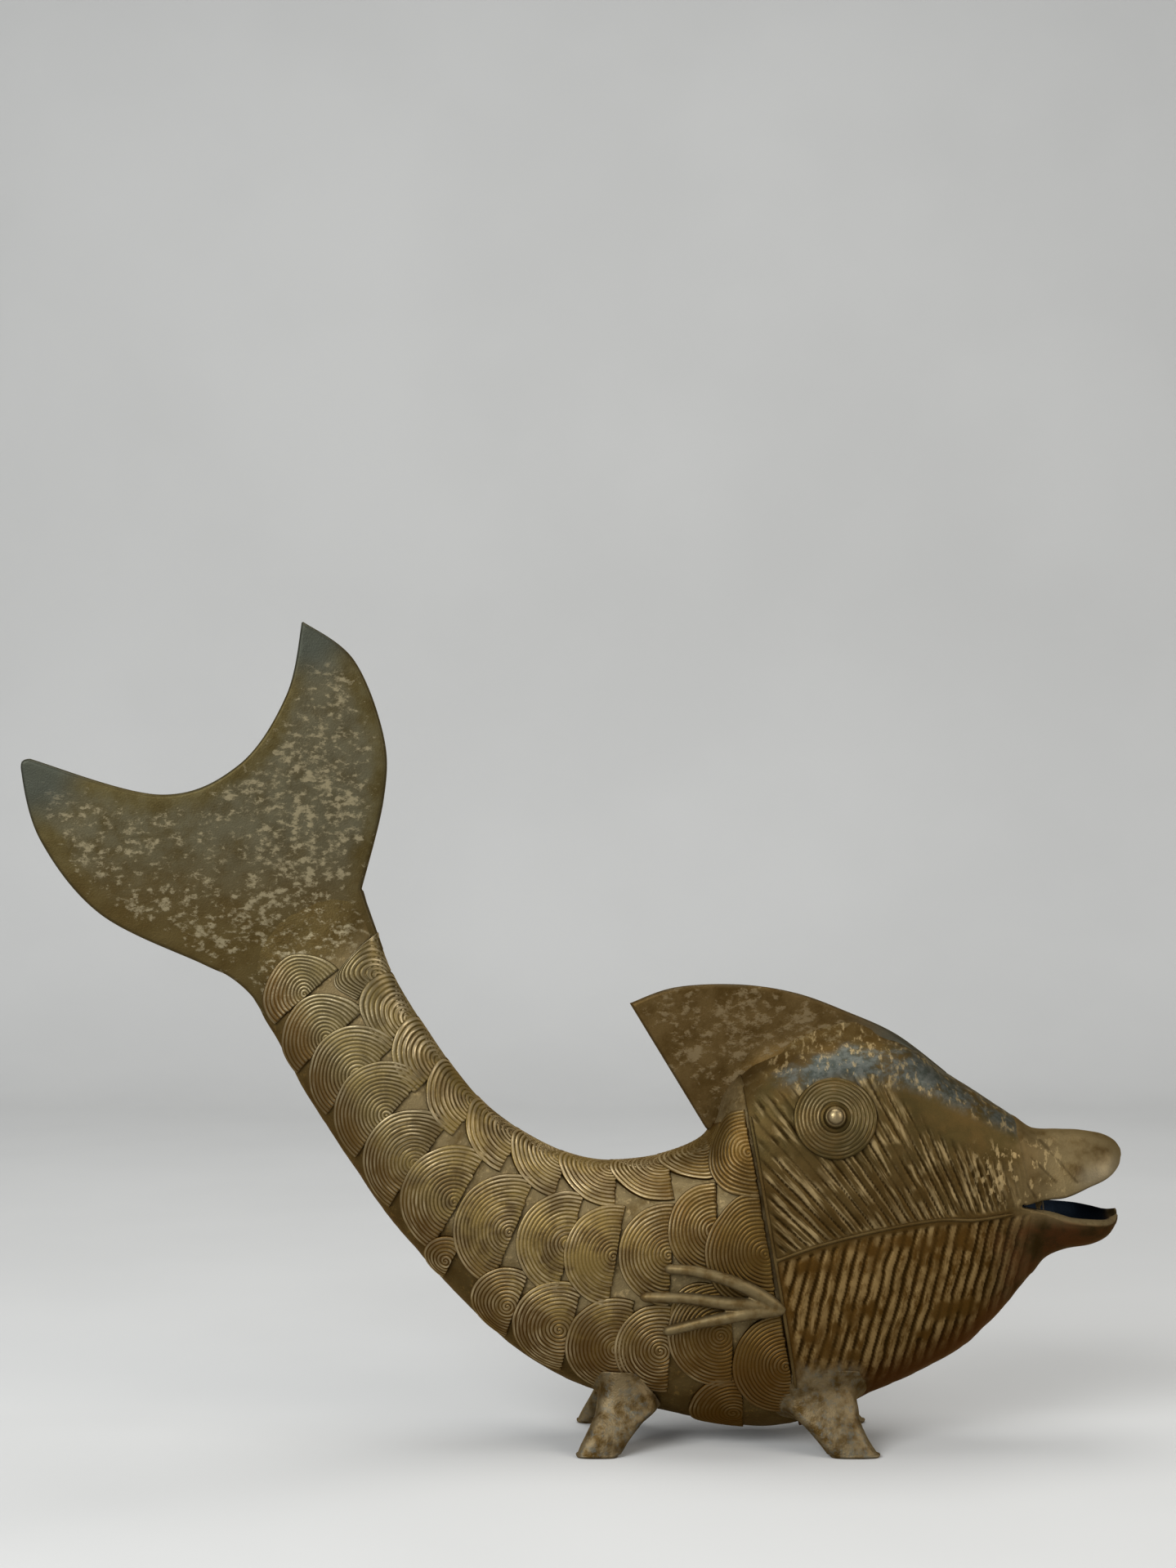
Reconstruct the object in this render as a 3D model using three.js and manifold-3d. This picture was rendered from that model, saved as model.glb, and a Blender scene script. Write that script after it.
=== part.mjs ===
// Cast metal fish on four short feet: swept-up tail fin, sail-like back fin, coil scales and parted lips.
// Millimetres, +Z up, +X towards the lips. The origin is on the table, under the middle of the overall box.
// Every element that the maker forms and lays on by itself is a solid of its own, set on the one below it.

import * as THREE from 'three';
import { mergeVertices } from 'three/addons/utils/BufferGeometryUtils.js';
import Module from 'manifold-3d';

const wasm = await Module();
wasm.setup();

// Clearances and walls
const seam = 0.3; // between two pieces that meet
const castWall = 3.2; // trunk, head and lips
const fullness = 0.3; // how far the body's section is squarer than an ellipse

// The body in side view: matching points [x, z] on the back and the belly, and half the width there.
const bodyStations = [
  { back: [-75.5, 199.5], belly: [-118, 165], half: 4 },
  { back: [-68, 173.5], belly: [-104.5, 141], half: 8.6 },
  { back: [-56.3, 152.7], belly: [-91, 118], half: 12 },
  { back: [-28.2, 117.8], belly: [-56.5, 70], half: 17 },
  { back: [9.2, 100.4], belly: [-9, 26.5], half: 21.5 },
  { back: [48.5, 109], belly: [50.5, 7.5], half: 25 },
  { back: [58.5, 128.5], belly: [76.5, 5.8], half: 26.4 },
  { back: [75, 138.5], belly: [101.5, 14.5], half: 27.2 },
  { back: [119.5, 144.5], belly: [137.5, 31], half: 25.2 },
  { back: [137.5, 133], belly: [151, 42], half: 21.8 },
  { back: [168, 113.5], belly: [172, 66], half: 14.5 },
];

// Places along the body, measured on its middle line from the tail's neck
const hollowStart = 46;
const coreSetback = 2; // the core ends this far behind the lips
const gillRun = 233;

// Scales: half a coil of thread pressed flat, its round rear edge up against the scale behind it
const scaleThickness = 1.8;
const scaleGap = 0.6; // groove left between a scale's edge and the scale under it
const scaleCrown = 0.5; // how far a coil's middle stands above its edge
const scaleLean = 0.4; // how far the rear edge stands above the middle
const scaleChord = 0.06; // the straight front edge, ahead of the coil's middle by this share of its radius
const bellyChord = 0.25; // wider at the belly, where each scale joins the next
const ridgeRow = { count: 9, first: 30, pitch: 19.1, radius: [15.5, 18], spread: 7 }; // pairs, along the back
const flankRow = { first: 16.5, last: gillRun - 27 };
const flankScales = [ // a gap is the distance from the scale behind, stretched to fill the row
  { gap: 0, rise: -0.28, radius: 16 },
  { gap: 18, rise: -0.27, radius: 18 },
  { gap: 17.5, rise: -0.14, radius: 18 },
  { gap: 17, rise: -0.1, radius: 18.5 },
  { gap: 19, rise: -0.16, radius: 19 },
  { gap: 19.5, rise: -0.1, radius: 20 },
  { gap: 23, rise: 0.07, radius: 20 },
  { gap: 22, rise: 0.26, radius: 18 },
  { gap: 18, rise: 0.26, radius: 18 },
  { gap: 19.5, rise: 0.29, radius: 18 },
  { gap: 15.5, rise: 0.43, radius: 15 },
];
const gillScales = {
  upper: { run: gillRun - 3, rise: 0.63, radius: 17 },
  middle: { run: gillRun - 3, rise: 0.06, radius: 21.5 },
  lower: { run: gillRun - 2, rise: -0.59, radius: 19 },
};
const bellyScales = [
  { run: gillRun - 93.5, rise: -0.6, radius: 14 },
  { run: gillRun - 75, rise: -0.51, radius: 17.5 },
  { run: gillRun - 56, rise: -0.51, radius: 18.5 },
  { run: gillRun - 42, rise: -0.45, radius: 16.5 },
  { run: gillRun - 22.5, rise: -0.31, radius: 19 },
  { run: gillRun - 19.5, rise: -0.86, radius: 16 },
  { run: gillRun - 28.5, rise: -0.155, radius: 11.5 },
];

// Fins: flat plates in the fish's middle plane
const tailThickness = 5.5;
const sailThickness = 4.5;
const tailRearEdge = [[-76, 200.5], [-68, 233], [-68, 256], [-79, 284], [-97.8, 298]]; // neck to upper tip
const tailNotch = [[-97.8, 298], [-103.5, 271], [-121, 245.5], [-150, 234.8], [-197.5, 248]];
const tailLowEdge = [[-197.5, 248], [-200, 243.5], [-193, 218], [-171, 191], [-133, 173], [-117, 164]];
const sailTop = [
  [21.6, 158.7], [38, 164.5], [61, 165.6], [82, 162.5], [101, 155.6], [119, 147.3], [137, 133.6],
];
const sailFoot = [[134, 118], [66, 104], [49.4, 113]]; // buried in the head, then the corner on the back

// Lips: half shells on the front of the head, given by sections across x
const upperLip = [
  { x: 163, crest: 113.7, rim: 88.3, half: 14.2 },
  { x: 170, crest: 113.5, rim: 89.3, half: 15.2 },
  { x: 178, crest: 113, rim: 90.6, half: 16.8 },
  { x: 186, crest: 112.5, rim: 94, half: 17 },
  { x: 193.5, crest: 111.2, rim: 97, half: 14.5 },
  { x: 198, crest: 108.8, rim: 100.4, half: 9 },
  { x: 200, crest: 106.2, rim: 103.4, half: 3.5 },
];
const lowerLip = [
  { x: 164, crest: 63, rim: 86, half: 14.2 },
  { x: 171, crest: 66, rim: 85, half: 15 },
  { x: 179, crest: 69.7, rim: 83.8, half: 16.5 },
  { x: 188, crest: 71.4, rim: 83, half: 16.3 },
  { x: 194, crest: 74, rim: 82.4, half: 12.5 },
  { x: 197, crest: 77, rim: 81.8, half: 7 },
  { x: 198.2, crest: 79, rim: 81.2, half: 3 },
];
const mouthCorner = { x: 162.5, z: 85.6, open: 3.2 }; // where the slit between the lips ends in the cheek

// Hatching: grooves that fan out over the cheek and lie side by side on the jaw, each within a field [x, z]
const hatchDepth = 0.8;
const hatchWidth = 1.4;
const cheekFan = { pivot: [185, -15.8], first: 1.87, step: 0.12, count: 5 }; // turned from +X
const cheekField = [
  [78, 74.5], [95, 79.5], [118, 84.5], [158, 87.5], [158, 102],
  [146, 106], [130, 115], [116, 126], [102, 133], [70, 122],
];
const jawComb = { lean: 0.24, first: 74, pitch: 15.6, count: 5 }; // x per z, and x on the table
const jawField = [
  [78, 69], [95, 74], [118, 79.3], [158, 82.5], [158, 64],
  [146, 49], [130, 38], [104, 34], [84, 36],
];

// Feet: sections across z, from the sole up into the belly
const rearFoot = [
  { z: 0, x: 9.7, along: 7.6, y: 25, across: 4 },
  { z: 5, x: 12.6, along: 8.1, y: 23.4, across: 4.4 },
  { z: 11, x: 16.5, along: 8.8, y: 20.6, across: 5.2 },
  { z: 17, x: 20.5, along: 10.4, y: 16.6, across: 6 },
  { z: 29, x: 18, along: 4.5, y: 13.5, across: 7 },
];
const frontFoot = [
  { z: 0, x: 101, along: 9, y: 25, across: 4.2 },
  { z: 5, x: 97.2, along: 9.2, y: 23.2, across: 4.8 },
  { z: 11, x: 93.2, along: 10.6, y: 20.2, across: 5.6 },
  { z: 17, x: 90, along: 12, y: 16.4, across: 6.4 },
  { z: 30, x: 89, along: 9, y: 14.5, across: 7 },
];
const footSquareness = 0.62; // exponent of the sections: 1 is an ellipse, 0 a rectangle

// Eyes, fin rays and laid threads on each side
const eyeRadius = 15;
const eyeGap = 16.5; // from the gill seam to the rim of the eye's coil
const eye = {
  run: gillRun + eyeGap + eyeRadius,
  rise: 0.63,
  radius: eyeRadius,
  height: 2.6,
  studRadius: 5.2,
  studHeight: 5.6,
};
const finRoot = { run: gillRun - 4, rise: -0.28, lift: 1.6 };
const finRays = [
  { run: finRoot.run - 38.5, rise: 0.2, bow: 6.8 },
  { run: finRoot.run - 46.5, rise: -0.03, bow: 5.5 },
  { run: finRoot.run - 37.5, rise: -0.28, bow: 5.5 },
];
const rayLift = 4.4; // of a ray's middle line above the skin, on top of the scales
const rayRadius = { root: 2.3, tip: 1.7 };
const threadRadius = 0.7;
const gillThread = [0.8, -0.72]; // rise at its two ends
const mouthThread = { toRun: 320, rise: [0.005, -0.105] };

// Facets
const girthSides = 16;
const ringStep = 15;
const scaleSides = 14;
const threadSides = 5;

const mix = (pair, share) => pair[0] + (pair[1] - pair[0]) * share;

// Solids from geometry and back

function toSolid(geometry) {
  const bare = geometry.index ? geometry.toNonIndexed() : geometry.clone();
  for (const name of Object.keys(bare.attributes)) if (name !== 'position') bare.deleteAttribute(name);
  const merged = mergeVertices(bare, 1e-4);
  return new wasm.Manifold(new wasm.Mesh({
    numProp: 3,
    vertProperties: merged.attributes.position.array,
    triVerts: new Uint32Array(merged.index.array),
  }));
}

function toGeometry(solid) {
  const { numProp, vertProperties, triVerts } = solid.getMesh();
  const corners = new Float32Array((vertProperties.length / numProp) * 3);
  for (let i = 0; i * 3 < corners.length; i++)
    corners.set(vertProperties.subarray(i * numProp, i * numProp + 3), i * 3);
  return new THREE.BufferGeometry()
    .setAttribute('position', new THREE.BufferAttribute(corners, 3))
    .setIndex(new THREE.BufferAttribute(triVerts, 1));
}

// The largest body of a solid that its neighbours have cut, without the crumbs beside it.
function mainBody(solid) {
  return solid.decompose().reduce((best, body) => (body.volume() > best.volume() ? body : best));
}

const cutBy = (solid, cutters) => cutters.reduce((rest, cutter) => rest.subtract(cutter), solid);

// A closed solid through rings of points, with a fan over each end, its faces turned outwards.
function loft(rings) {
  const sides = rings[0].length;
  const corners = rings.flat();
  const faces = [];
  for (let r = 0; r + 1 < rings.length; r++)
    for (let i = 0; i < sides; i++) {
      const here = r * sides;
      const next = (i + 1) % sides;
      faces.push(here + i, here + next, here + sides + i);
      faces.push(here + next, here + sides + next, here + sides + i);
    }
  for (const end of [0, rings.length - 1]) {
    const middle = corners.length;
    const sum = rings[end].reduce((total, point) => total.add(point), new THREE.Vector3());
    corners.push(sum.divideScalar(sides));
    for (let i = 0; i < sides; i++) {
      const pair = [end * sides + i, end * sides + ((i + 1) % sides)];
      faces.push(middle, ...(end ? pair : pair.reverse()));
    }
  }
  let volume = 0;
  for (let f = 0; f < faces.length; f += 3) {
    const [a, b, c] = [0, 1, 2].map((k) => corners[faces[f + k]]);
    volume += a.dot(b.clone().cross(c));
  }
  if (volume < 0) faces.reverse();
  const geometry = new THREE.BufferGeometry().setFromPoints(corners);
  return toSolid(geometry.setIndex(faces));
}

// The body's skin

const outline = (side) =>
  new THREE.CatmullRomCurve3(bodyStations.map((s) => new THREE.Vector3(s[side][0], s.half, s[side][1])));
const backLine = outline('back');
const bellyLine = outline('belly');

// Distances along a line of the body, to find the share of the outline at a given distance.
function measure(pointAt) {
  const steps = 300;
  const reached = [0];
  for (let i = 1; i <= steps; i++)
    reached.push(reached[i - 1] + pointAt(i / steps).distanceTo(pointAt((i - 1) / steps)));
  const shareAt = (distance) => {
    let i = reached.findIndex((r) => r > distance);
    if (i < 0) i = steps;
    if (i === 0) i = 1;
    return (i - 1 + (distance - reached[i - 1]) / (reached[i] - reached[i - 1])) / steps;
  };
  return { length: reached[steps], shareAt };
}

const flat = (point) => point.setY(0);
const middleLine = measure((share) => flat(backLine.getPoint(share).lerp(bellyLine.getPoint(share), 0.5)));
const backEdge = measure((share) => flat(backLine.getPoint(share)));
const runOnBack = (distance) => middleLineDistance(backEdge.shareAt(distance));

function middleLineDistance(share) {
  let low = 0;
  let high = middleLine.length;
  while (high - low > 1e-4) {
    const half = (low + high) / 2;
    if (middleLine.shareAt(half) < share) low = half;
    else high = half;
  }
  return low;
}

function sectionAt(run) {
  const share = THREE.MathUtils.clamp(middleLine.shareAt(run), 0, 1);
  const back = backLine.getPoint(share);
  const belly = bellyLine.getPoint(share);
  const half = back.y;
  const axis = flat(back).sub(flat(belly)).divideScalar(2);
  const height = axis.length();
  return { middle: belly.clone().add(axis), axis: axis.normalize(), height, half };
}

// A point of the skin: girth is the angle from the back's ridge, positive down the right side (-Y).
function skinPoint(run, girth, lift = 0) {
  const { middle, axis, height, half } = sectionAt(run);
  const side = Math.sin(girth) * (1 + fullness * Math.cos(girth) ** 2);
  return middle.addScaledVector(axis, (height + lift) * Math.cos(girth)).setY(-(half + lift) * side);
}

function skinNormal(run, girth) {
  const ahead = skinPoint(run + 0.5, girth).sub(skinPoint(run - 0.5, girth));
  const around = skinPoint(run, girth + 0.01).sub(skinPoint(run, girth - 0.01));
  return around.cross(ahead).normalize();
}

// A place on one side of the skin: rise runs from -1 at the belly to 1 at the back, side is 1 on the right.
const spotAt = (run, rise, side) => ({ run, girth: side * Math.acos(rise) });

// The girth reached by going a distance across the skin, away from the back's ridge on the right side.
function girthAfter(run, girth, across) {
  const steps = 8;
  let reached = girth;
  for (let i = 0; i < steps; i++) {
    const speed = skinPoint(run, reached + 0.01).distanceTo(skinPoint(run, reached - 0.01)) / 0.02;
    reached += across / steps / speed;
  }
  return reached;
}

// A point beside a spot, by distances on the skin: ahead towards the lips, and across.
function besideSpot(spot, ahead, across, lift) {
  const girth = girthAfter(spot.run, spot.girth, across);
  const stretch = skinPoint(spot.run + 0.5, girth).distanceTo(skinPoint(spot.run - 0.5, girth));
  return skinPoint(spot.run + ahead / stretch, girth, lift);
}

const skinRing = (run, lift) =>
  Array.from({ length: girthSides }, (_, i) => skinPoint(run, (i / girthSides) * 2 * Math.PI, lift));
// Rings stand on one grid along the body, so that a shell, its hollow and its core have the same facets.
const ringRuns = (from, to) => {
  const runs = [from];
  for (let run = Math.ceil((from + 1) / ringStep) * ringStep; run < to - 1; run += ringStep) runs.push(run);
  return [...runs, to];
};
const shifted = (ring, run, distance) => {
  const { axis } = sectionAt(run);
  const ahead = new THREE.Vector3(axis.z, 0, -axis.x);
  return ring.map((point) => point.clone().addScaledVector(ahead, distance));
};

// A length of the skin as a solid, moved out by lift. Each end can run on straight by a distance of its own.
function skinSolid(from, to, lift, before = 0, after = 0) {
  const rings = ringRuns(from, to).map((run) => skinRing(run, lift));
  if (before) rings.unshift(shifted(rings[0], from, -before));
  if (after) rings.push(shifted(rings.at(-1), to, after));
  return loft(rings);
}

const lipRun = middleLine.length;
const overcut = 3; // how far a cutting solid runs past what it cuts
const trunkCutter = skinSolid(0, gillRun, seam, seam, seam);
const headCutter = skinSolid(gillRun, lipRun, seam, seam, seam);

function trunkShell() {
  const hollow = skinSolid(hollowStart, gillRun, -castWall, 0, overcut);
  return skinSolid(0, gillRun, 0).subtract(hollow);
}

function mouthSlit() {
  const { x, z, open } = mouthCorner;
  const front = skinPoint(lipRun, Math.PI).x + overcut;
  const wedge = new THREE.Shape([
    new THREE.Vector2(x, z),
    new THREE.Vector2(front, z - open / 2),
    new THREE.Vector2(front, z + open / 2),
  ]);
  return plate(wedge, 2 * (bodyStations.at(-2).half + overcut));
}

// Thin plates on the hatching's lines, as deep as its grooves and clear of the eye.
function hatching() {
  const span = 3 * Math.max(...bodyStations.map((station) => station.half));
  const strip = ([x, z], angle) => {
    const bar = new THREE.BoxGeometry(lipRun, span, hatchWidth).translate(lipRun / 2, 0, 0);
    return toSolid(bar.rotateY(-angle).translate(x, 0, z));
  };
  const within = (strips, field) =>
    strips.reduce((all, one) => all.add(one)).intersect(plate(new THREE.Shape(asPoints(field)), span));
  const cheek = [];
  for (let i = 0; i < cheekFan.count; i++)
    cheek.push(strip(cheekFan.pivot, cheekFan.first + i * cheekFan.step));
  const jaw = [];
  for (let i = 0; i < jawComb.count; i++)
    jaw.push(strip([jawComb.first + i * jawComb.pitch, 0], Math.atan2(1, jawComb.lean)));
  const { x, z } = skinPoint(eye.run, Math.acos(eye.rise));
  const eyePlate = plate(new THREE.Shape().absarc(x, z, eye.radius + hatchWidth, 0, 2 * Math.PI), span);
  const lines = within(cheek, cheekField).subtract(eyePlate).add(within(jaw, jawField));
  return lines.subtract(skinSolid(gillRun, lipRun, -hatchDepth, overcut, overcut));
}

function headShell() {
  const hollow = skinSolid(gillRun, lipRun, -castWall, overcut, overcut);
  const seamGap = skinSolid(0, gillRun, overcut, 0, seam);
  return cutBy(skinSolid(gillRun, lipRun, 0), [seamGap, hollow, mouthSlit(), hatching()]);
}

function clayCore() {
  const inset = -castWall - seam;
  const filled = skinSolid(hollowStart + seam, gillRun, inset).add(skinSolid(gillRun, lipRun, inset));
  return filled.subtract(skinSolid(lipRun - coreSetback, lipRun, overcut, 0, overcut));
}

// Fins

// A flat plate standing in the fish's middle plane, from an outline in x and z.
function plate(shape, thickness) {
  const made = new THREE.ExtrudeGeometry(shape, { depth: thickness, bevelEnabled: false });
  return toSolid(made.rotateX(Math.PI / 2).translate(0, thickness / 2, 0));
}

const asPoints = (pairs) => pairs.map(([x, z]) => new THREE.Vector2(x, z));
const smooth = (pairs, pieces) => new THREE.SplineCurve(asPoints(pairs)).getPoints(pieces);

function tailFin() {
  const edge = [
    ...smooth(tailRearEdge, 12),
    ...smooth(tailNotch, 14).slice(1),
    ...smooth(tailLowEdge, 14).slice(1),
  ];
  return mainBody(plate(new THREE.Shape(edge), tailThickness).subtract(trunkCutter));
}

function sailFin(scaleCutters) {
  const edge = [...smooth(sailTop, 16), ...asPoints(sailFoot)];
  const blank = plate(new THREE.Shape(edge), sailThickness);
  return mainBody(cutBy(blank, [trunkCutter, headCutter, ...scaleCutters]));
}

// Lips

// A half shell through sections across x, from a flat rim to a rounded crest.
function lipShell(sections) {
  const arcSteps = 12;
  const form = (inset, past) => {
    const rings = sections.map(({ x, crest, rim, half }) => {
      const rise = crest - rim;
      const inner = Math.max(0.15, 1 - inset / Math.min(Math.abs(rise), half));
      const ring = Array.from({ length: arcSteps + 1 }, (_, i) => {
        const angle = (Math.PI * i) / arcSteps;
        return new THREE.Vector3(x, half * inner * Math.cos(angle), rim + rise * inner * Math.sin(angle));
      });
      if (!past) return ring;
      const below = rim - Math.sign(rise) * past;
      return [...ring, new THREE.Vector3(x, ring.at(-1).y, below), new THREE.Vector3(x, ring[0].y, below)];
    });
    return loft(inset ? rings.slice(0, -1) : rings);
  };
  return mainBody(form(0, 0).subtract(form(castWall, overcut)).subtract(headCutter));
}

// Feet

function footSolid(sections, side, grow = 0) {
  const sides = 16;
  const power = (value) => Math.sign(value) * Math.abs(value) ** footSquareness;
  return loft(sections.map(({ z, x, along, y, across }) =>
    Array.from({ length: sides }, (_, i) => {
      const angle = (i / sides) * 2 * Math.PI;
      return new THREE.Vector3(
        x + (along + grow) * power(Math.cos(angle)),
        -side * y + (across + grow) * power(Math.sin(angle)),
        z,
      );
    })));
}

// Scales

const scaleTop = (ahead, radius, share) =>
  scaleThickness + scaleCrown * (1 - share ** 2) - (scaleLean * ahead) / radius;

// A coil pressed on the skin at a spot. Grown by the seam it is the cutter for what lies under it or on it.
function coilScale({ spot, radius, chord = scaleChord }, { grow = 0, tall = 0 } = {}) {
  const ring = (share, liftAt) =>
    Array.from({ length: scaleSides }, (_, i) => {
      const angle = (i / scaleSides) * 2 * Math.PI;
      const reach = (radius + grow) * share;
      const ahead = Math.min(reach * Math.cos(angle), radius * chord + grow);
      return besideSpot(spot, ahead, reach * Math.sin(angle), liftAt(ahead));
    });
  const top = (share) => (ahead) => scaleTop(ahead, radius, share) + grow + tall;
  return loft([ring(1, () => -1), ring(1, top(1)), ring(0.55, top(0.55))]);
}

const ridgeRun = (i) => runOnBack(ridgeRow.first + i * ridgeRow.pitch);

// All the scales of the trunk, those that lie on top first. A ridge scale is a pair joined over the back.
function scaleList() {
  const list = [];
  for (const [name, side] of [['right', 1], ['left', -1]]) {
    const belly = bellyScales.map(({ run, rise, radius }) =>
      ({ spot: spotAt(run, rise, side), radius, chord: bellyChord }));
    list.push({ name: `${name}_belly_scales`, coils: belly });
    for (const [place, s] of Object.entries(gillScales)) {
      const coil = { spot: spotAt(s.run, s.rise, side), radius: s.radius };
      list.push({ name: `${name}_gill_scale_${place}`, coils: [coil] });
    }
    const behind = flankScales.map((_, i) => flankScales.slice(0, i + 1).reduce((sum, s) => sum + s.gap, 0));
    for (let i = flankScales.length - 1; i >= 0; i--) {
      const { rise, radius } = flankScales[i];
      const run = mix([flankRow.first, flankRow.last], behind[i] / behind.at(-1));
      const coil = { spot: spotAt(run, rise, side), radius };
      list.push({ name: `${name}_flank_scale_${i + 1}`, coils: [coil] });
    }
  }
  for (let i = ridgeRow.count - 1; i >= 0; i--) {
    const run = ridgeRun(i);
    const girth = girthAfter(run, 0, ridgeRow.spread);
    const radius = mix(ridgeRow.radius, i / (ridgeRow.count - 1));
    const pair = [girth, -girth].map((turn) => ({ spot: { run, girth: turn }, radius }));
    list.push({ name: `ridge_scale_${i + 1}`, coils: pair });
  }
  return list;
}

const allScales = scaleList();
const place = ({ spot }) => skinPoint(spot.run, spot.girth);
const meets = (a, b) => place(a).distanceTo(place(b)) < 1.4 * (a.radius + b.radius);
const feet = [['right', 1], ['left', -1]].flatMap(([name, side]) => [
  { name: `${name}_rear_foot`, sections: rearFoot, side },
  { name: `${name}_front_foot`, sections: frontFoot, side },
]);
const footCutters = feet.map(({ sections, side }) => footSolid(sections, side, seam));
// Keeps the scales off the gill thread
const gillGuard = skinSolid(gillRun, lipRun, 8, threadRadius + 2 * seam, 0);

function scaleSolid(scale, above) {
  const blank = scale.coils.map((c) => coilScale(c)).reduce((all, one) => all.add(one));
  const covers = (c) => scale.coils.some((own) => meets(own, c));
  const covering = above.flatMap((other) => other.coils.filter(covers));
  const cutters = covering.map((c) => coilScale(c, { grow: scaleGap, tall: overcut }));
  return mainBody(cutBy(blank, [trunkCutter, gillGuard, ...footCutters, ...cutters]));
}

// Eyes, fin rays and threads

function turned(profile, run, girth) {
  const lathe = new THREE.LatheGeometry(profile.map(([r, h]) => new THREE.Vector2(r, h)), 16);
  const turn = new THREE.Quaternion().setFromUnitVectors(new THREE.Vector3(0, 1, 0), skinNormal(run, girth));
  const spot = skinPoint(run, girth);
  return toSolid(lathe.applyQuaternion(turn).translate(spot.x, spot.y, spot.z));
}

function eyeCoil(side) {
  const { radius, height, studRadius } = eye;
  const rim = [[radius, -5], [radius, height - 1], [radius - 2, height]];
  const profile = [[0, -5], ...rim, [studRadius + 2, height], [0, height]];
  return turned(profile, eye.run, side * Math.acos(eye.rise)).subtract(headCutter);
}

function eyeStud(side) {
  const steps = 5;
  const foot = eye.height + seam;
  const dome = Array.from({ length: steps + 1 }, (_, i) => {
    const angle = (Math.PI / 2) * (i / steps);
    return [i === steps ? 0 : eye.studRadius * Math.cos(angle), foot + eye.studHeight * Math.sin(angle)];
  });
  return turned([[0, foot], ...dome], eye.run, side * Math.acos(eye.rise));
}

// A round bar along points on the skin, its radius changing evenly from one end to the other.
function skinBar(points, normals, fromRadius, toRadius, sides) {
  const rings = points.map((point, i) => {
    const before = points[Math.max(0, i - 1)];
    const after = points[Math.min(points.length - 1, i + 1)];
    const forward = after.clone().sub(before).normalize();
    const side = new THREE.Vector3().crossVectors(forward, normals[i]).normalize();
    const out = new THREE.Vector3().crossVectors(side, forward);
    const radius = mix([fromRadius, toRadius], i / (points.length - 1));
    return Array.from({ length: sides }, (_, k) => {
      const angle = (k / sides) * 2 * Math.PI;
      const level = point.clone().addScaledVector(side, radius * Math.cos(angle));
      return level.addScaledVector(out, radius * Math.sin(angle));
    });
  });
  return loft(rings);
}

// Three bars that spread from one root behind the gill and lie on the scales.
function finWithRays(side, scaleCutters) {
  const steps = 7;
  const rays = finRays.map((tip) => {
    const places = Array.from({ length: steps + 1 }, (_, i) => {
      const share = i / steps;
      const run = mix([finRoot.run, tip.run], share);
      const rise = mix([finRoot.rise, tip.rise], share);
      const spot = spotAt(run, rise, side);
      const lift = mix([finRoot.lift, rayLift], Math.min(1, share * 3));
      return { spot, point: besideSpot(spot, 0, -side * tip.bow * Math.sin(Math.PI * share), lift) };
    });
    const normals = places.map(({ spot }) => skinNormal(spot.run, spot.girth));
    return skinBar(places.map((p) => p.point), normals, rayRadius.root, rayRadius.tip, 8);
  });
  const joined = rays.reduce((all, ray) => all.add(ray));
  return mainBody(cutBy(joined, [trunkCutter, headCutter, ...scaleCutters]));
}

function threadBar(spots) {
  const points = spots.map((spot) => skinPoint(spot.run, spot.girth, threadRadius * 0.5));
  const normals = spots.map((spot) => skinNormal(spot.run, spot.girth));
  return skinBar(points, normals, threadRadius, threadRadius, threadSides);
}

// One thread laid over the gill seam and a second one that runs from it along the cheek to the lips.
function faceThread(side) {
  const steps = 9;
  const shares = Array.from({ length: steps + 1 }, (_, i) => i / steps);
  const gill = shares.map((share) => spotAt(gillRun, mix(gillThread, share), side));
  const mouth = shares.map((share) =>
    spotAt(mix([gillRun, mouthThread.toRun], share), mix(mouthThread.rise, share), side));
  const joined = threadBar(gill).add(threadBar(mouth));
  return mainBody(cutBy(joined, [trunkCutter, headCutter, ...footCutters]));
}

// Materials

const metal = (color, roughness) => new THREE.MeshStandardMaterial({ color, roughness, metalness: 0.75 });
const bodyMetal = metal(0x5a4c30, 0.55);
const finMetal = metal(0x544a31, 0.5);
const scaleMetal = metal(0x6e5f3c, 0.45);
const footMetal = metal(0x5c594c, 0.55);
const clay = new THREE.MeshStandardMaterial({ color: 0x6b4a35, roughness: 0.95, metalness: 0 });

// Assembly

const fish = new THREE.Group();

function put(name, solid, material) {
  const mesh = new THREE.Mesh(toGeometry(solid), material);
  mesh.name = name;
  fish.add(mesh);
}

put('trunk_shell', trunkShell(), bodyMetal);
put('head_shell', headShell(), bodyMetal);
put('clay_core', clayCore(), clay);
put('upper_lip', lipShell(upperLip), bodyMetal);
put('lower_lip', lipShell(lowerLip), bodyMetal);
put('tail_fin', tailFin(), finMetal);

const scaleCuttersNear = (spots, reach) =>
  allScales.flatMap((scale) => scale.coils)
    .filter((coil) => spots.some((spot) => place(coil).distanceTo(place({ spot })) < coil.radius + reach))
    .map((coil) => coilScale(coil, { grow: seam }));

allScales.forEach((scale, i) => put(scale.name, scaleSolid(scale, allScales.slice(0, i)), scaleMetal));
const sailHeel = { run: ridgeRun(ridgeRow.count - 1), girth: 0 };
put('sail_fin', sailFin(scaleCuttersNear([sailHeel], ridgeRow.pitch)), finMetal);

for (const { name, sections, side } of feet)
  put(name, mainBody(cutBy(footSolid(sections, side), [trunkCutter, headCutter])), footMetal);

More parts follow.
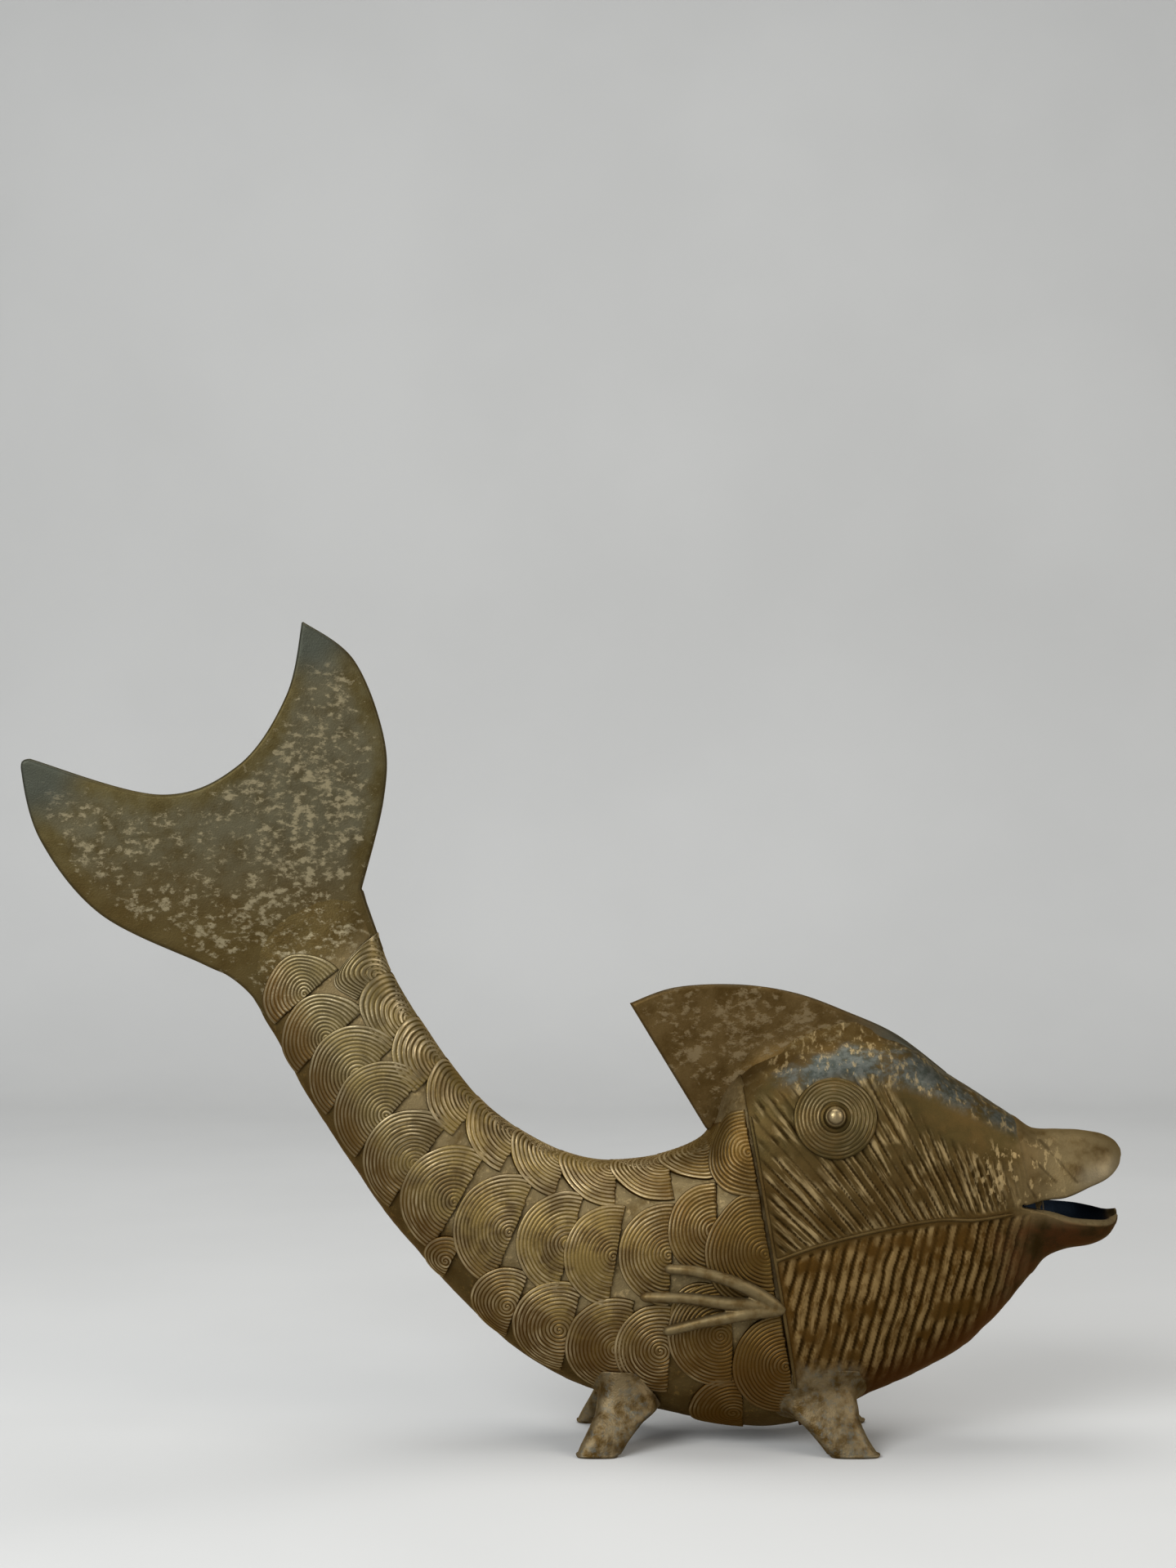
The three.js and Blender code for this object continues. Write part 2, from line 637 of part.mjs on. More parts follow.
for (const [name, side] of [['right', 1], ['left', -1]]) {
  put(`${name}_eye_coil`, eyeCoil(side), scaleMetal);
  put(`${name}_eye_stud`, eyeStud(side), scaleMetal);
  const raySpots = [...finRays, finRoot].map((end) => spotAt(end.run, end.rise, side));
  put(`${name}_ray_fin`, finWithRays(side, scaleCuttersNear(raySpots, 12)), footMetal);
  put(`${name}_face_thread`, faceThread(side), bodyMetal);
}

export default fish;
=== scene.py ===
# Cast metal fish on four feet: skin, coil scales, fins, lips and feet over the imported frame
import bpy
import math
import numpy as np
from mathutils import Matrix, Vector
from mathutils.geometry import delaunay_2d_cdt
from mathutils.kdtree import KDTree


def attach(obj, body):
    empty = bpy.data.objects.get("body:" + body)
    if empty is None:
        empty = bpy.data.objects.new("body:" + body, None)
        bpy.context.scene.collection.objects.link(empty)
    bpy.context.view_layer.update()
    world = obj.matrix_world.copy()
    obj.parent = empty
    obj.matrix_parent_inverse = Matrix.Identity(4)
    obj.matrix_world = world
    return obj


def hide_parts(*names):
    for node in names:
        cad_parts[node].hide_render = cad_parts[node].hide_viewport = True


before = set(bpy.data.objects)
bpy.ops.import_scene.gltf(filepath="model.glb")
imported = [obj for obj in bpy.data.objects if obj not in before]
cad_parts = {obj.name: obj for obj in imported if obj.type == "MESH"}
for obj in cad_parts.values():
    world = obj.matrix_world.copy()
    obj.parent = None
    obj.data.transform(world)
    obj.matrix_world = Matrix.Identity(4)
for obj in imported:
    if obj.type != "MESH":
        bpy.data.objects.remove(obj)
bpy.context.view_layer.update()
print("frame:", len(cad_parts), "nodes")

mm = 0.001
fullTurn = 2 * math.pi
bothSides = ((1, "right"), (-1, "left"))


# one small wrapper for node sockets, used for materials and geometry trees
class Wire:
    def __init__(self, tree, socket=None):
        self.tree = tree
        self.socket = socket

    def node(self, kind, settings=None, sockets=None, out=0):
        made = self.tree.nodes.new(kind)
        for key, value in (settings or {}).items():
            setattr(made, key, value)
        for key, value in (sockets or {}).items():
            if isinstance(value, Wire):
                self.tree.links.new(value.socket, made.inputs[key])
            else:
                made.inputs[key].default_value = value
        return Wire(self.tree, made.outputs[out] if made.outputs else None)

    def pick(self, out):
        return Wire(self.tree, self.socket.node.outputs[out])

    def calc(self, operation, *values):
        return self.node("ShaderNodeMath", {"operation": operation}, dict(enumerate(values)))

    def __add__(self, other):
        return self.calc("ADD", self, other)

    def __sub__(self, other):
        return self.calc("SUBTRACT", self, other)

    def __rsub__(self, other):
        return self.calc("SUBTRACT", other, self)

    def __mul__(self, other):
        return self.calc("MULTIPLY", self, other)

    def __truediv__(self, other):
        return self.calc("DIVIDE", self, other)

    def __rtruediv__(self, other):
        return self.calc("DIVIDE", other, self)

    def __neg__(self):
        return self * -1.0

    __radd__ = __add__
    __rmul__ = __mul__

    def low(self, other):
        return self.calc("MINIMUM", self, other)

    def high(self, other):
        return self.calc("MAXIMUM", self, other)

    def ramp(self, start, end):  # 0 before start, 1 past end, smooth between
        return self.node("ShaderNodeMapRange", {"interpolation_type": "SMOOTHSTEP"},
                         {"Value": self, "From Min": start, "From Max": end})

    def tint(self, first, second):  # self is the factor between two colours or named tones
        first, second = [(*metalTones[c], 1) if isinstance(c, str) else c for c in (first, second)]
        return self.node("ShaderNodeMix", {"data_type": "RGBA"}, {0: self, 6: first, 7: second}, 2)

    def split(self):  # the three parts of a vector
        first = self.node("ShaderNodeSeparateXYZ", None, {0: self})
        return first, first.pick(1), first.pick(2)

    def vector(self, operation, first, second, out=0):
        return self.node("ShaderNodeVectorMath", {"operation": operation}, {0: first, 1: second}, out)

    def scaled(self, factor):
        return self.node("ShaderNodeVectorMath", {"operation": "SCALE"}, {0: self, "Scale": factor})

    def grain(self, scale, detail=2.0, rough=0.5, stretch=(1, 1, 1), shift=0.0):  # self is a vector in mm
        spot = self.node("ShaderNodeVectorMath", {"operation": "MULTIPLY_ADD"},
                         {0: self, 1: [s * scale for s in stretch], 2: [shift] * 3})
        return self.node("ShaderNodeTexNoise", None,
                         {"Vector": spot, "Scale": 1.0, "Detail": detail, "Roughness": rough})


# the body's skin, by the run along its middle line and the girth angle from the back
bodyShape = {
    "stations": [  # back x and z, belly x and z, half width, in mm
        (-75.5, 199.5, -118, 165, 4), (-68, 173.5, -104.5, 141, 8.6), (-56.3, 152.7, -91, 118, 12),
        (-28.2, 117.8, -56.5, 70, 17), (9.2, 100.4, -9, 26.5, 21.5), (48.5, 109, 50.5, 7.5, 25),
        (58.5, 128.5, 76.5, 5.8, 26.4), (75, 138.5, 101.5, 14.5, 27.2), (119.5, 144.5, 137.5, 31, 25.2),
        (137.5, 133, 151, 42, 21.8), (168, 113.5, 172, 66, 14.5),
    ],
    "steps": 120, "fullness": 0.3, "gillRun": 233,
    "tailReach": 20, "tailShare": (0.96, 0.3),  # its reach into the tail plate, and its height and width there
    "lipReach": 12, "runStep": 0.5, "girthStep": 0.01,
}


def throughPoints(points, steps, even=False):  # a smooth line, paced by distance or evenly
    points = np.array(points, float)
    first, last = points[:1], points[-1:]
    if not even:
        first, last = 2 * first - points[1:2], 2 * last - points[-2:-1]
    padded = np.vstack([first, points, last])
    share = np.linspace(0, 1, steps, endpoint=False)[:, None]
    rows = []
    for i in range(len(points) - 1):
        a, b, c, d = padded[i:i + 4]
        if even:
            leave, arrive = (c - a) / 2, (d - b) / 2
        else:
            da, db, dc = [np.sum((q - p) ** 2) ** 0.25 for p, q in ((a, b), (b, c), (c, d))]
            leave = ((b - a) / da - (c - a) / (da + db) + (c - b) / db) * db
            arrive = ((c - b) / db - (d - b) / (db + dc) + (d - c) / dc) * db
        rows.append(b + leave * share + (3 * c - 3 * b - 2 * leave - arrive) * share ** 2
                    + (2 * b - 2 * c + leave + arrive) * share ** 3)
    return np.vstack(rows + [points[-1:]])


def measured(points):
    return np.concatenate([[0], np.cumsum(np.linalg.norm(np.diff(points, axis=0), axis=1))])


def lineAt(x, points):
    return np.interp(x, *zip(*points))


def blended(pair, share):
    return pair[0] + (pair[1] - pair[0]) * share


def step(start, end, value):  # 0 before start, 1 past end, smooth between
    share = np.clip((np.asarray(value, float) - start) / (end - start), 0, 1)
    return share * share * (3 - 2 * share)


def bodyTable():
    stations = np.array(bodyShape["stations"], float)
    back, belly = (throughPoints(stations[:, columns], bodyShape["steps"]) for columns in ([0, 4, 1], [2, 4, 3]))
    half = back[:, 1].copy()
    back[:, 1] = belly[:, 1] = 0
    middle, axis = (back + belly) / 2, (back - belly) / 2
    height = np.linalg.norm(axis, axis=1)
    axis /= height[:, None]
    rows = np.column_stack([middle[:, [0, 2]], axis[:, [0, 2]], height, half])
    run = measured(middle)
    tail, lip = rows[0].copy(), rows[-1].copy()
    tailReach, lipReach = bodyShape["tailReach"], bodyShape["lipReach"]
    tail[:2] -= tailReach * np.array([tail[3], -tail[2]])
    tail[4:] *= bodyShape["tailShare"]
    lip[:2] += lipReach * np.array([lip[3], -lip[2]])
    runs = np.concatenate([[-tailReach], run, [run[-1] + lipReach]])
    return runs, np.vstack([tail, rows, lip]), run, measured(back)


skinRuns, skinRows, middleReach, backReach = bodyTable()
gillRun, lipRun = bodyShape["gillRun"], middleReach[-1]


def skin(run, girth, lift=0.0):
    run, girth = np.broadcast_arrays(run, girth)
    midX, midZ, axisX, axisZ, height, half = [np.interp(run, skinRuns, column) for column in skinRows.T]
    reach = (height + lift) * np.cos(girth)
    side = -(half + lift) * np.sin(girth) * (1 + bodyShape["fullness"] * np.cos(girth) ** 2)
    return np.stack([midX + axisX * reach, side, midZ + axisZ * reach], -1)


def skinWays(run, girth):  # a short way ahead along the skin, and one round it
    along, turn = bodyShape["runStep"], bodyShape["girthStep"]
    return (skin(run + along, girth) - skin(run - along, girth),
            skin(run, girth + turn) - skin(run, girth - turn))


def skinOut(run, girth):
    ahead, around = skinWays(run, girth)
    out = np.cross(around, ahead)
    return out / np.linalg.norm(out, axis=-1, keepdims=True)


def lumps(points, size, seed):  # soft noise from -1 to 1 on points in mm
    spot = np.asarray(points, float) / size + seed * 7.31
    cell = np.floor(spot).astype(np.int64)
    part = spot - cell
    part = part * part * (3 - 2 * part)
    total = 0
    for corner in range(8):
        shift = np.array([corner & 1, corner >> 1 & 1, corner >> 2 & 1])
        at = cell + shift
        mark = at[..., 0] * 374761393 + at[..., 1] * 668265263 + at[..., 2] * 1440662683 + seed * 97531
        mark = (mark ^ (mark >> 13)) * 1274126177 & 0xFFFFFFFF
        mark = (mark ^ (mark >> 16)) & 0xFFFF
        total = total + np.prod(np.where(shift, part, 1 - part), -1) * (mark / 32767.5 - 1)
    return total


# mesh helpers
def addMark(mesh, name, values):
    mesh.attributes.new(name, "FLOAT", "POINT").data.foreach_set("value", np.asarray(values, np.float32).ravel())


def meshFrom(name, points, faces, marks=None):
    mesh = bpy.data.meshes.new(name)
    mesh.from_pydata((np.asarray(points) * mm).tolist(), [], faces)
    for key, values in (marks or {}).items():
        addMark(mesh, key, values)
    mesh.polygons.foreach_set("use_smooth", [True] * len(mesh.polygons))
    mesh.update()
    return mesh


def gridFaces(rows, columns, closed):
    faces = []
    for r in range(rows - 1):
        for c in range(columns if closed else columns - 1):
            a, b = r * columns + c, r * columns + (c + 1) % columns
            faces.append((a, b, b + columns, a + columns))
    return faces


def pointsOf(mesh, name="co"):
    flat = np.empty(len(mesh.vertices) * 3)
    mesh.vertices.foreach_get(name, flat)
    return flat.reshape(-1, 3)


def faceOut(mesh):  # turn a closed mesh's faces outwards by its volume
    mesh.calc_loop_triangles()
    order = np.empty(len(mesh.loop_triangles) * 3, int)
    mesh.loop_triangles.foreach_get("vertices", order)
    a, b, c = pointsOf(mesh)[order.reshape(-1, 3)].transpose(1, 0, 2)
    if np.sum(a * np.cross(b, c)) < 0:
        mesh.flip_normals()
    return mesh


def cappedMesh(name, rings, marks):  # a stack of closed rings with a fan over each end
    count = rings.shape[1]
    last = len(rings) * count
    points = np.vstack([rings.reshape(-1, 3), rings[0].mean(0)[None], rings[-1].mean(0)[None]])
    faces = gridFaces(len(rings), count, True)
    for c in range(count):
        following = (c + 1) % count
        faces.append((last, following, c))
        faces.append((last + 1, last - count + c, last - count + following))
    marks = {key: np.append(values, values[[0, -1], 0]) for key, values in marks.items()}
    return faceOut(meshFrom(name, points, faces, marks))


def joined(name, meshes):
    points, faces, marks = [], [], {}
    count = 0
    for mesh in meshes:
        points.append(pointsOf(mesh) / mm)
        faces += [tuple(v + count for v in p.vertices) for p in mesh.polygons]
        for layer in mesh.attributes:
            if layer.data_type == "FLOAT" and layer.domain == "POINT":
                values = np.empty(len(mesh.vertices), np.float32)
                layer.data.foreach_get("value", values)
                marks.setdefault(layer.name, []).append(values)
        count += len(mesh.vertices)
    return meshFrom(name, np.vstack(points), faces, {k: np.concatenate(v) for k, v in marks.items()})


def linked(name, data):
    made = bpy.data.objects.new(name, data)
    bpy.context.scene.collection.objects.link(made)
    return made


def place(name, mesh, material, slot, *nodes):
    mesh.name = name
    mesh.materials.clear()
    mesh.materials.append(material)
    piece = linked(name, mesh)
    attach(piece, "root")
    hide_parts(*nodes)


def evaluated(holder):  # the modifiers' result as a plain mesh
    bpy.context.view_layer.update()
    graph = bpy.context.evaluated_depsgraph_get()
    mesh = bpy.data.meshes.new_from_object(holder.evaluated_get(graph))
    old = holder.data
    holder.modifiers.clear()
    bpy.data.objects.remove(holder)
    if old.users == 0:
        bpy.data.meshes.remove(old)
    return mesh


def newTree(name, inputs):  # a geometry tree with named inputs, listed by socket type
    tree = bpy.data.node_groups.new(name, "GeometryNodeTree")
    for kind, labels in inputs.items():
        for label in labels:
            tree.interface.new_socket(name=label, in_out="INPUT", socket_type="NodeSocket" + kind)
    tree.interface.new_socket(name="Geometry", in_out="OUTPUT", socket_type="NodeSocketGeometry")
    root = Wire(tree)
    return tree, root, root.node("NodeGroupInput").pick


def closeTree(root, geometry, metal):
    for kind, extra in (("SetShadeSmooth", {}), ("RealizeInstances", {}), ("SetMaterial", {"Material": metal})):
        geometry = root.node("GeometryNode" + kind, None, {"Geometry": geometry, **extra})
    root.node("NodeGroupOutput", None, {"Geometry": geometry})


def treeMesh(name, tree, values, base=None):
    holder = linked(name, base or bpy.data.meshes.new(name))
    modifier = holder.modifiers.new(name, "NODES")
    modifier.node_group = tree
    keys = {item.name: item.identifier for item in tree.interface.items_tree if item.in_out == "INPUT"}
    for label, value in values.items():
        modifier[keys[label]] = value
    return evaluated(holder)


# finishes
metalTones = {  # linear colours
    "olive": (0.145, 0.098, 0.028), "umber": (0.05, 0.029, 0.008), "sand": (0.3, 0.22, 0.105),
    "dusk": (0.012, 0.006, 0.001), "slate": (0.075, 0.08, 0.07), "gold": (0.38, 0.295, 0.165),
    "ash": (0.135, 0.1, 0.048), "blackShade": (0.012, 0.011, 0.012), "warmShade": (0.064, 0.027, 0.003),
    "fern": (0.066, 0.052, 0.021), "bone": (0.33, 0.29, 0.2), "mouthShade": (0.007, 0.012, 0.02),
    "lichen": (0.23, 0.195, 0.12), "moss": (0.046, 0.034, 0.012), "tan": (0.15, 0.085, 0.022),
    "oak": (0.082, 0.052, 0.019), "dust": (0.15, 0.112, 0.06), "teal": (0.036, 0.043, 0.037),
    "bark": (0.062, 0.032, 0.006), "bole": (0.068, 0.043, 0.014), "wine": (0.042, 0.011, 0.002),
    "clay": (0.05, 0.035, 0.025),
}
tailTones, heelTones, footTones = ("moss", "fern", "lichen"), ("umber", "bole", "ash"), ("umber", "dust", "slate")


def newFinish(name):
    material = bpy.data.materials.new(name)
    material.use_nodes = True
    material.node_tree.nodes.clear()
    origin = Wire(material.node_tree).node("ShaderNodeTexCoord", None, None, "Object")
    return material, origin.scaled(1 / mm)


def closeFinish(material, colour, roughness, metallic, bump, distance=0.0003, strength=0.6):
    wire = Wire(material.node_tree)
    normal = wire.node("ShaderNodeBump", None, {"Height": bump, "Strength": strength, "Distance": distance})
    shader = wire.node("ShaderNodeBsdfPrincipled", None, {
        "Base Color": colour, "Roughness": roughness, "Metallic": metallic, "Normal": normal,
        "Specular IOR Level": 0.1, "Specular Tint": (0.75, 0.55, 0.3, 1)})
    wire.node("ShaderNodeOutputMaterial", None, {"Surface": shader})
    return material


def marksOf(spot, names):
    return [spot.node("ShaderNodeAttribute", {"attribute_name": name}, None, "Fac") for name in names.split()]


def worked(first, second, detail=2.0):  # noise along a thread or a bar
    flat = first.node("ShaderNodeCombineXYZ", None, {0: first, 1: second})
    return first.node("ShaderNodeTexNoise", None, {"Vector": flat, "Scale": 1.0, "Detail": detail})


coilLook = {  # where along the body a tone sets in, in mm, and how far down or up the girth
    "brown": (-20, 60), "green": (-25, -95), "front": (0, 70), "warmShade": (0.15, 0.7), "back": (0.6, 0.95),
    "plainShine": 0.14, "dashShine": 0.6, "backHighlight": 0.7, "frontFade": 0.58, "wearFade": 0.45,
}


def coilFinish(name, deep, body, shine, rimShine, brown):
    look = coilLook
    material, spot = newFinish(name)
    thread, along, ring, outer, low, wear = marksOf(spot, "thread along ring outer low wear")
    blotch, pits = spot.grain(0.1, 4.0, 0.65, shift=31.0), spot.grain(1.4, 2.0, 0.6)
    x = spot.split()[0]
    front, green = x.ramp(*look["front"]), x.ramp(*look["green"]) * 0.75
    colour = blotch.ramp(0.38, 0.64).tint(deep, body)
    colour = (x.ramp(*look["brown"]) * brown).tint(colour, "bark")
    colour = green.tint(colour, "fern")
    # painted shade with a painted warm reflection: the lower flank and belly are tinted dark red-brown
    colour = (low.ramp(*look["warmShade"]) * 0.7).tint(colour, "warmShade")
    # the crests are worn bright in dashes; a painted highlight makes them brightest along the round edge and on the
    # back, where the light falls on them
    dash = worked(along * 0.17, ring * 1.7).ramp(0.38, 0.66) * spot.grain(0.06, 2.0, 0.5, shift=5.0).ramp(0.3, 0.66)
    bright = thread.ramp(0.6, 0.98) * (dash * look["dashShine"] + outer * rimShine + look["plainShine"]) * shine
    # painted highlight: brighter crests on the top of the back, lit from above
    bright = bright * ((-low).ramp(*look["back"]) * look["backHighlight"] + 1)
    bright = bright * (1 - front * look["frontFade"]) * (1 - wear * look["wearFade"])
    colour = bright.tint(colour, (front * 0.7).tint(green.tint("gold", "lichen"), "ash"))
    # painted shade: the grooves and the cut walls are darkened, less where the thread is worn low
    colour = ((1 - thread.ramp(0.0, 0.5)) * (0.75 - wear * 0.5)).tint(colour, "dusk")
    rough = blotch * 0.14 + pits * 0.08 - bright * 0.1 + 0.37
    return closeFinish(material, colour, rough, blotch * 0.1 + 0.82, pits * 0.5 + blotch * 0.4)


def plateTone(spot, deep, body, fleck, flaky=0.5):  # mottled metal with pale flecks left in its hollows
    clouds, blotch = spot.grain(0.07, 2.0, 0.5, shift=2.0), spot.grain(0.12, 4.0, 0.65, shift=31.0)
    flakes = spot.grain(0.31, 4.0, 0.7, (0.8, 1, 1.2), 11.0)
    x, _, z = spot.split()
    colour = blotch.ramp(0.3, 0.68).tint(deep, body)
    # painted shade: darker towards the tail's root
    tailRootShade = x.ramp(-40, -70) * z.ramp(228, 190)
    colour = (tailRootShade * 0.45).tint(colour, "umber")
    crust = (flakes + (clouds - 0.5) * 0.3 + (flaky - 0.5) * 0.3).ramp(0.52, 0.67)
    return (crust * 0.65).tint(colour, fleck), crust, blotch


def skinFinish():
    material, spot = newFinish("trunk_skin_metal")
    low, neck, heel = marksOf(spot, "low neck heel")
    blotch, pits = spot.grain(0.13, 3.0, 0.6), spot.grain(1.6, 2.0, 0.6)
    flakes = spot.grain(0.5, 4.0, 0.65, shift=9.0)
    colour = blotch.ramp(0.2, 0.55).tint("bole", "ash")
    colour = (flakes.ramp(0.54, 0.68) * 0.5).tint(colour, "sand")
    brown = (flakes.ramp(0.55, 0.7) * 0.5).tint(blotch.ramp(0.35, 0.65).tint("umber", "bole"), "tan")
    # painted shade with a painted warm reflection: the bare skin turns darker brown towards the belly
    belly = low.ramp(0.26, 0.46)
    colour = (belly * 0.95).tint(colour, brown)
    colour = neck.tint(colour, plateTone(spot, *tailTones)[0])
    colour = heel.tint(colour, plateTone(spot, *heelTones)[0])
    return closeFinish(material, colour, pits * 0.12 + blotch * 0.14 + 0.42,
                       belly.high(neck).high(heel) * 0.15 + 0.6, flakes * 0.7 + pits * 0.4, 0.0005)


nose = {  # where the tones of snout and lips set in, in mm
    "pale": (146, 180), "patchX": ((138, 150), (182, 168)), "patchZ": ((86, 92), (113, 106)),
    "shadeUnderX": (138, 172), "shadeUnderZ": (78, 86),
}


def noseTone(colour, spot, blotch):  # head and lips share these tones, so that no seam shows between them
    x, _, z = spot.split()
    colour = (x.ramp(*nose["pale"]) * blotch.ramp(0.25, 0.6) * 0.8).tint(colour, "ash")
    patches = spot.grain(0.3, 3.0, 0.6, (1.4, 1, 0.7), 29.0).ramp(0.54, 0.62)
    for way, (start, end) in ((x, nose["patchX"]), (z, nose["patchZ"])):
        patches = patches * way.ramp(*start) * way.ramp(*end)
    colour = (patches * 0.7).tint(colour, "sand")
    # painted shade with a painted warm reflection under the snout and lips
    under = x.ramp(*nose["shadeUnderX"]) * (1 - z.ramp(*nose["shadeUnderZ"]))
    return (under * 0.9).tint(colour, blotch.ramp(0.4, 0.7).tint("dusk", "wine"))


def wornTone(spot, deep, body, fleck):  # the feet's tones, which run on over the jaw above them
    blotch, flakes = spot.grain(0.16, 3.0, 0.6, shift=31.0), spot.grain(0.4, 4.0, 0.68, shift=13.0)
    colour = blotch.ramp(0.34, 0.64).tint(deep, body)
    return (flakes.ramp(0.48, 0.66) * 0.55).tint(colour, fleck), blotch, flakes


def headFinish():
    material, spot = newFinish("head_skin_metal")
    bar, groove, brow, phase, along, jaw, slit, heel, footing, keel = marksOf(
        spot, "bar groove brow phase along jaw slit heel footing keel")
    blotch, pits = spot.grain(0.1, 3.0, 0.6, shift=31.0), spot.grain(1.4, 2.0, 0.6)
    flakes = spot.grain(0.33, 4.0, 0.66, shift=11.0)
    mottle = spot.grain(0.28, 4.0, 0.7, (1, 1, 0.6), 51.0).ramp(0.36, 0.57)
    clouds = blotch.ramp(0.34, 0.68)
    # painted reflection of cool light: the head turns greener towards its top
    forehead = spot.split()[2].ramp(96, 112)
    colour = (forehead * 0.75).tint(clouds.tint("umber", "bole"), clouds.tint("moss", "bole"))
    # painted shade with a painted warm reflection: dark red-brown below the mouth line
    colour = (jaw * 0.6).tint(colour, "warmShade")
    # the bars are worn sandy in long dashes, those of the jaw over their whole width
    dash = worked(phase * 2.1, along * 0.07, 3.0).ramp(0.45, 0.62) * (0.3 + 0.7 * blotch.ramp(0.3, 0.62))
    wide = jaw * (worked(phase * 1.3, along * 0.06, 3.0).ramp(0.35, 0.62) * 0.6 + 0.4) * mottle
    dusty = bar * dash.high(wide)
    colour = (dusty * 0.75).tint(colour, (jaw * 0.6).tint("sand", "tan"))
    # painted shade in the hatch grooves
    colour = (groove * 0.8).tint(colour, "dusk")
    # painted shade with a painted warm reflection on the head's underside
    colour = (keel * 0.65).tint(colour, "wine")
    colour = noseTone(colour, spot, blotch)
    colour = footing.tint(colour, wornTone(spot, *footTones)[0])
    # a grey-blue cast on the brow, a painted reflection of cool light from above, with pale streaks over it
    cast = brow * (spot.grain(0.055, 2.0, 0.5, shift=3.0) + (flakes - 0.5) * 0.5).ramp(0.3, 0.56)
    colour = (cast * 0.95).tint(colour, flakes.ramp(0.36, 0.64).tint("teal", "slate"))
    colour = heel.tint(colour, plateTone(spot, *heelTones)[0])
    streaks = spot.grain(0.3, 3.0, 0.6, (1.6, 1, 0.55), 23.0).ramp(0.54, 0.68)
    colour = (streaks * brow.ramp(0.05, 0.5) * 0.55).tint(colour, "sand")
    # painted shade: the mouth's corner is near black
    colour = slit.tint(colour, "mouthShade")
    rough = blotch * 0.16 + pits * 0.08 + dusty * 0.12 - cast * 0.08 + 0.42
    return closeFinish(material, colour, rough, 0.8 - dusty * 0.2, pits * 0.5 + blotch * 0.4)


def finFinish(name, tones, grey):
    material, spot = newFinish(name)
    rim, tip, flaky = marksOf(spot, "rim tip flaky")
    colour, crust, blotch = plateTone(spot, *tones, flaky)
    pits = spot.grain(1.6, 2.0, 0.6)
    cast = (flaky + (blotch - 0.5) * 0.9).ramp(0.15, 0.75) * spot.split()[2].ramp(180, 225)
    colour = (cast * (1 - crust) * grey).tint(colour, "slate")
    colour = (tip * 0.75).tint(colour, "teal")
    colour = (rim * 0.4).tint(colour, "teal")
    rough = blotch * 0.16 + pits * 0.08 + crust * 0.15 + 0.4
    return closeFinish(material, colour, rough, 0.75 - crust * 0.25, pits * 0.5 + crust * 0.4 + blotch * 0.5)


def lipFinish():
    material, spot = newFinish("lip_metal")
    inside, edge, sheen, scratch = marksOf(spot, "inside edge sheen scratch")
    blotch, pits = spot.grain(0.1, 3.0, 0.6, shift=31.0), spot.grain(1.4, 2.0, 0.6)
    flakes = spot.grain(0.45, 4.0, 0.66, shift=41.0)
    colour = noseTone(blotch.ramp(0.34, 0.68).tint("umber", "oak"), spot, blotch)
    colour = (sheen * 0.3).tint(colour, "bone")
    colour = (edge * (flakes.ramp(0.3, 0.6) * 0.5 + 0.3)).tint(colour, "ash")
    colour = (scratch * 0.45).tint(colour, "dusk")
    # painted shade: the inner faces of the lips are near black
    colour = inside.tint(colour, "mouthShade")
    rough = blotch * 0.16 + pits * 0.08 - sheen * 0.05 + edge * 0.1 + 0.44
    return closeFinish(material, colour, rough, 0.8 - edge * 0.3, pits * 0.5 + blotch * 0.4)


def wornFinish(name, tones, brown, distance):
    material, spot = newFinish(name)
    root, = marksOf(spot, "root")
    colour, blotch, flakes = wornTone(spot, *tones)
    pits = spot.grain(1.4, 2.0, 0.6)
    colour = (root * brown).tint(colour, flakes.ramp(0.4, 0.65).tint("umber", "oak"))
    return closeFinish(material, colour, blotch * 0.16 + pits * 0.1 + 0.4, blotch * 0.1 + 0.7,
                       pits * 0.5 + flakes * 0.7, distance)


# the core shows only deep inside the mouth, so it is painted near black: painted shade
def clayFinish():
    material, spot = newFinish("sooty_clay")
    crumbs = spot.grain(0.5, 4.0, 0.6)
    colour = crumbs.ramp(0.35, 0.7).tint("blackShade", "clay")
    return closeFinish(material, colour, crumbs * 0.1 + 0.85, 0.0, crumbs, 0.0008)


coilMetal = coilFinish("coil_thread_metal", "umber", "olive", 1.25, 0.2, 0.8)
eyeMetal = coilFinish("eye_ring_metal", "moss", "bole", 2.0, -0.25, 0.1)
# the boss's strong rim brightening is a painted highlight on the stud's top, along with wear
bossMetal = coilFinish("eye_boss_metal", "moss", "bole", 2.0, 1.2, 0.1)
tailMetal = finFinish("tail_metal", tailTones, 0.3)
sailMetal = finFinish("sail_metal", ("umber", "oak", "dust"), 0.0)
footMetal = wornFinish("worn_foot_metal", footTones, 0.3, 0.0005)
rayMetal = wornFinish("ray_metal", ("oak", "ash", "ash"), 0.0, 0.0001)
skinMetal, headMetal, lipMetal = skinFinish(), headFinish(), lipFinish()
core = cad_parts["clay_core"].data
core.materials.clear()
core.materials.append(clayFinish())
print("finishes:", len(bpy.data.materials))


# the sail stands on both skins, which run up its faces
sailRoot = {
    "top": [(21.6, 158.7), (38, 164.5), (61, 165.6), (82, 162.5), (101, 155.6), (119, 147.3), (137, 133.6)],
    "height": 8, "width": 3, "half": 1.6, "below": 1.5, "rise": (50, 100), "end": 137,
    # the sail's tone on the skin: its half width along x, its ragged edge, its start and its end
    "reach": ((60, 80, 110), (17, 11, 7)), "reachEdge": (2, -3), "reachLump": 2.5,
    "heelStart": (49, 70), "heelEnd": (132, 112),
}


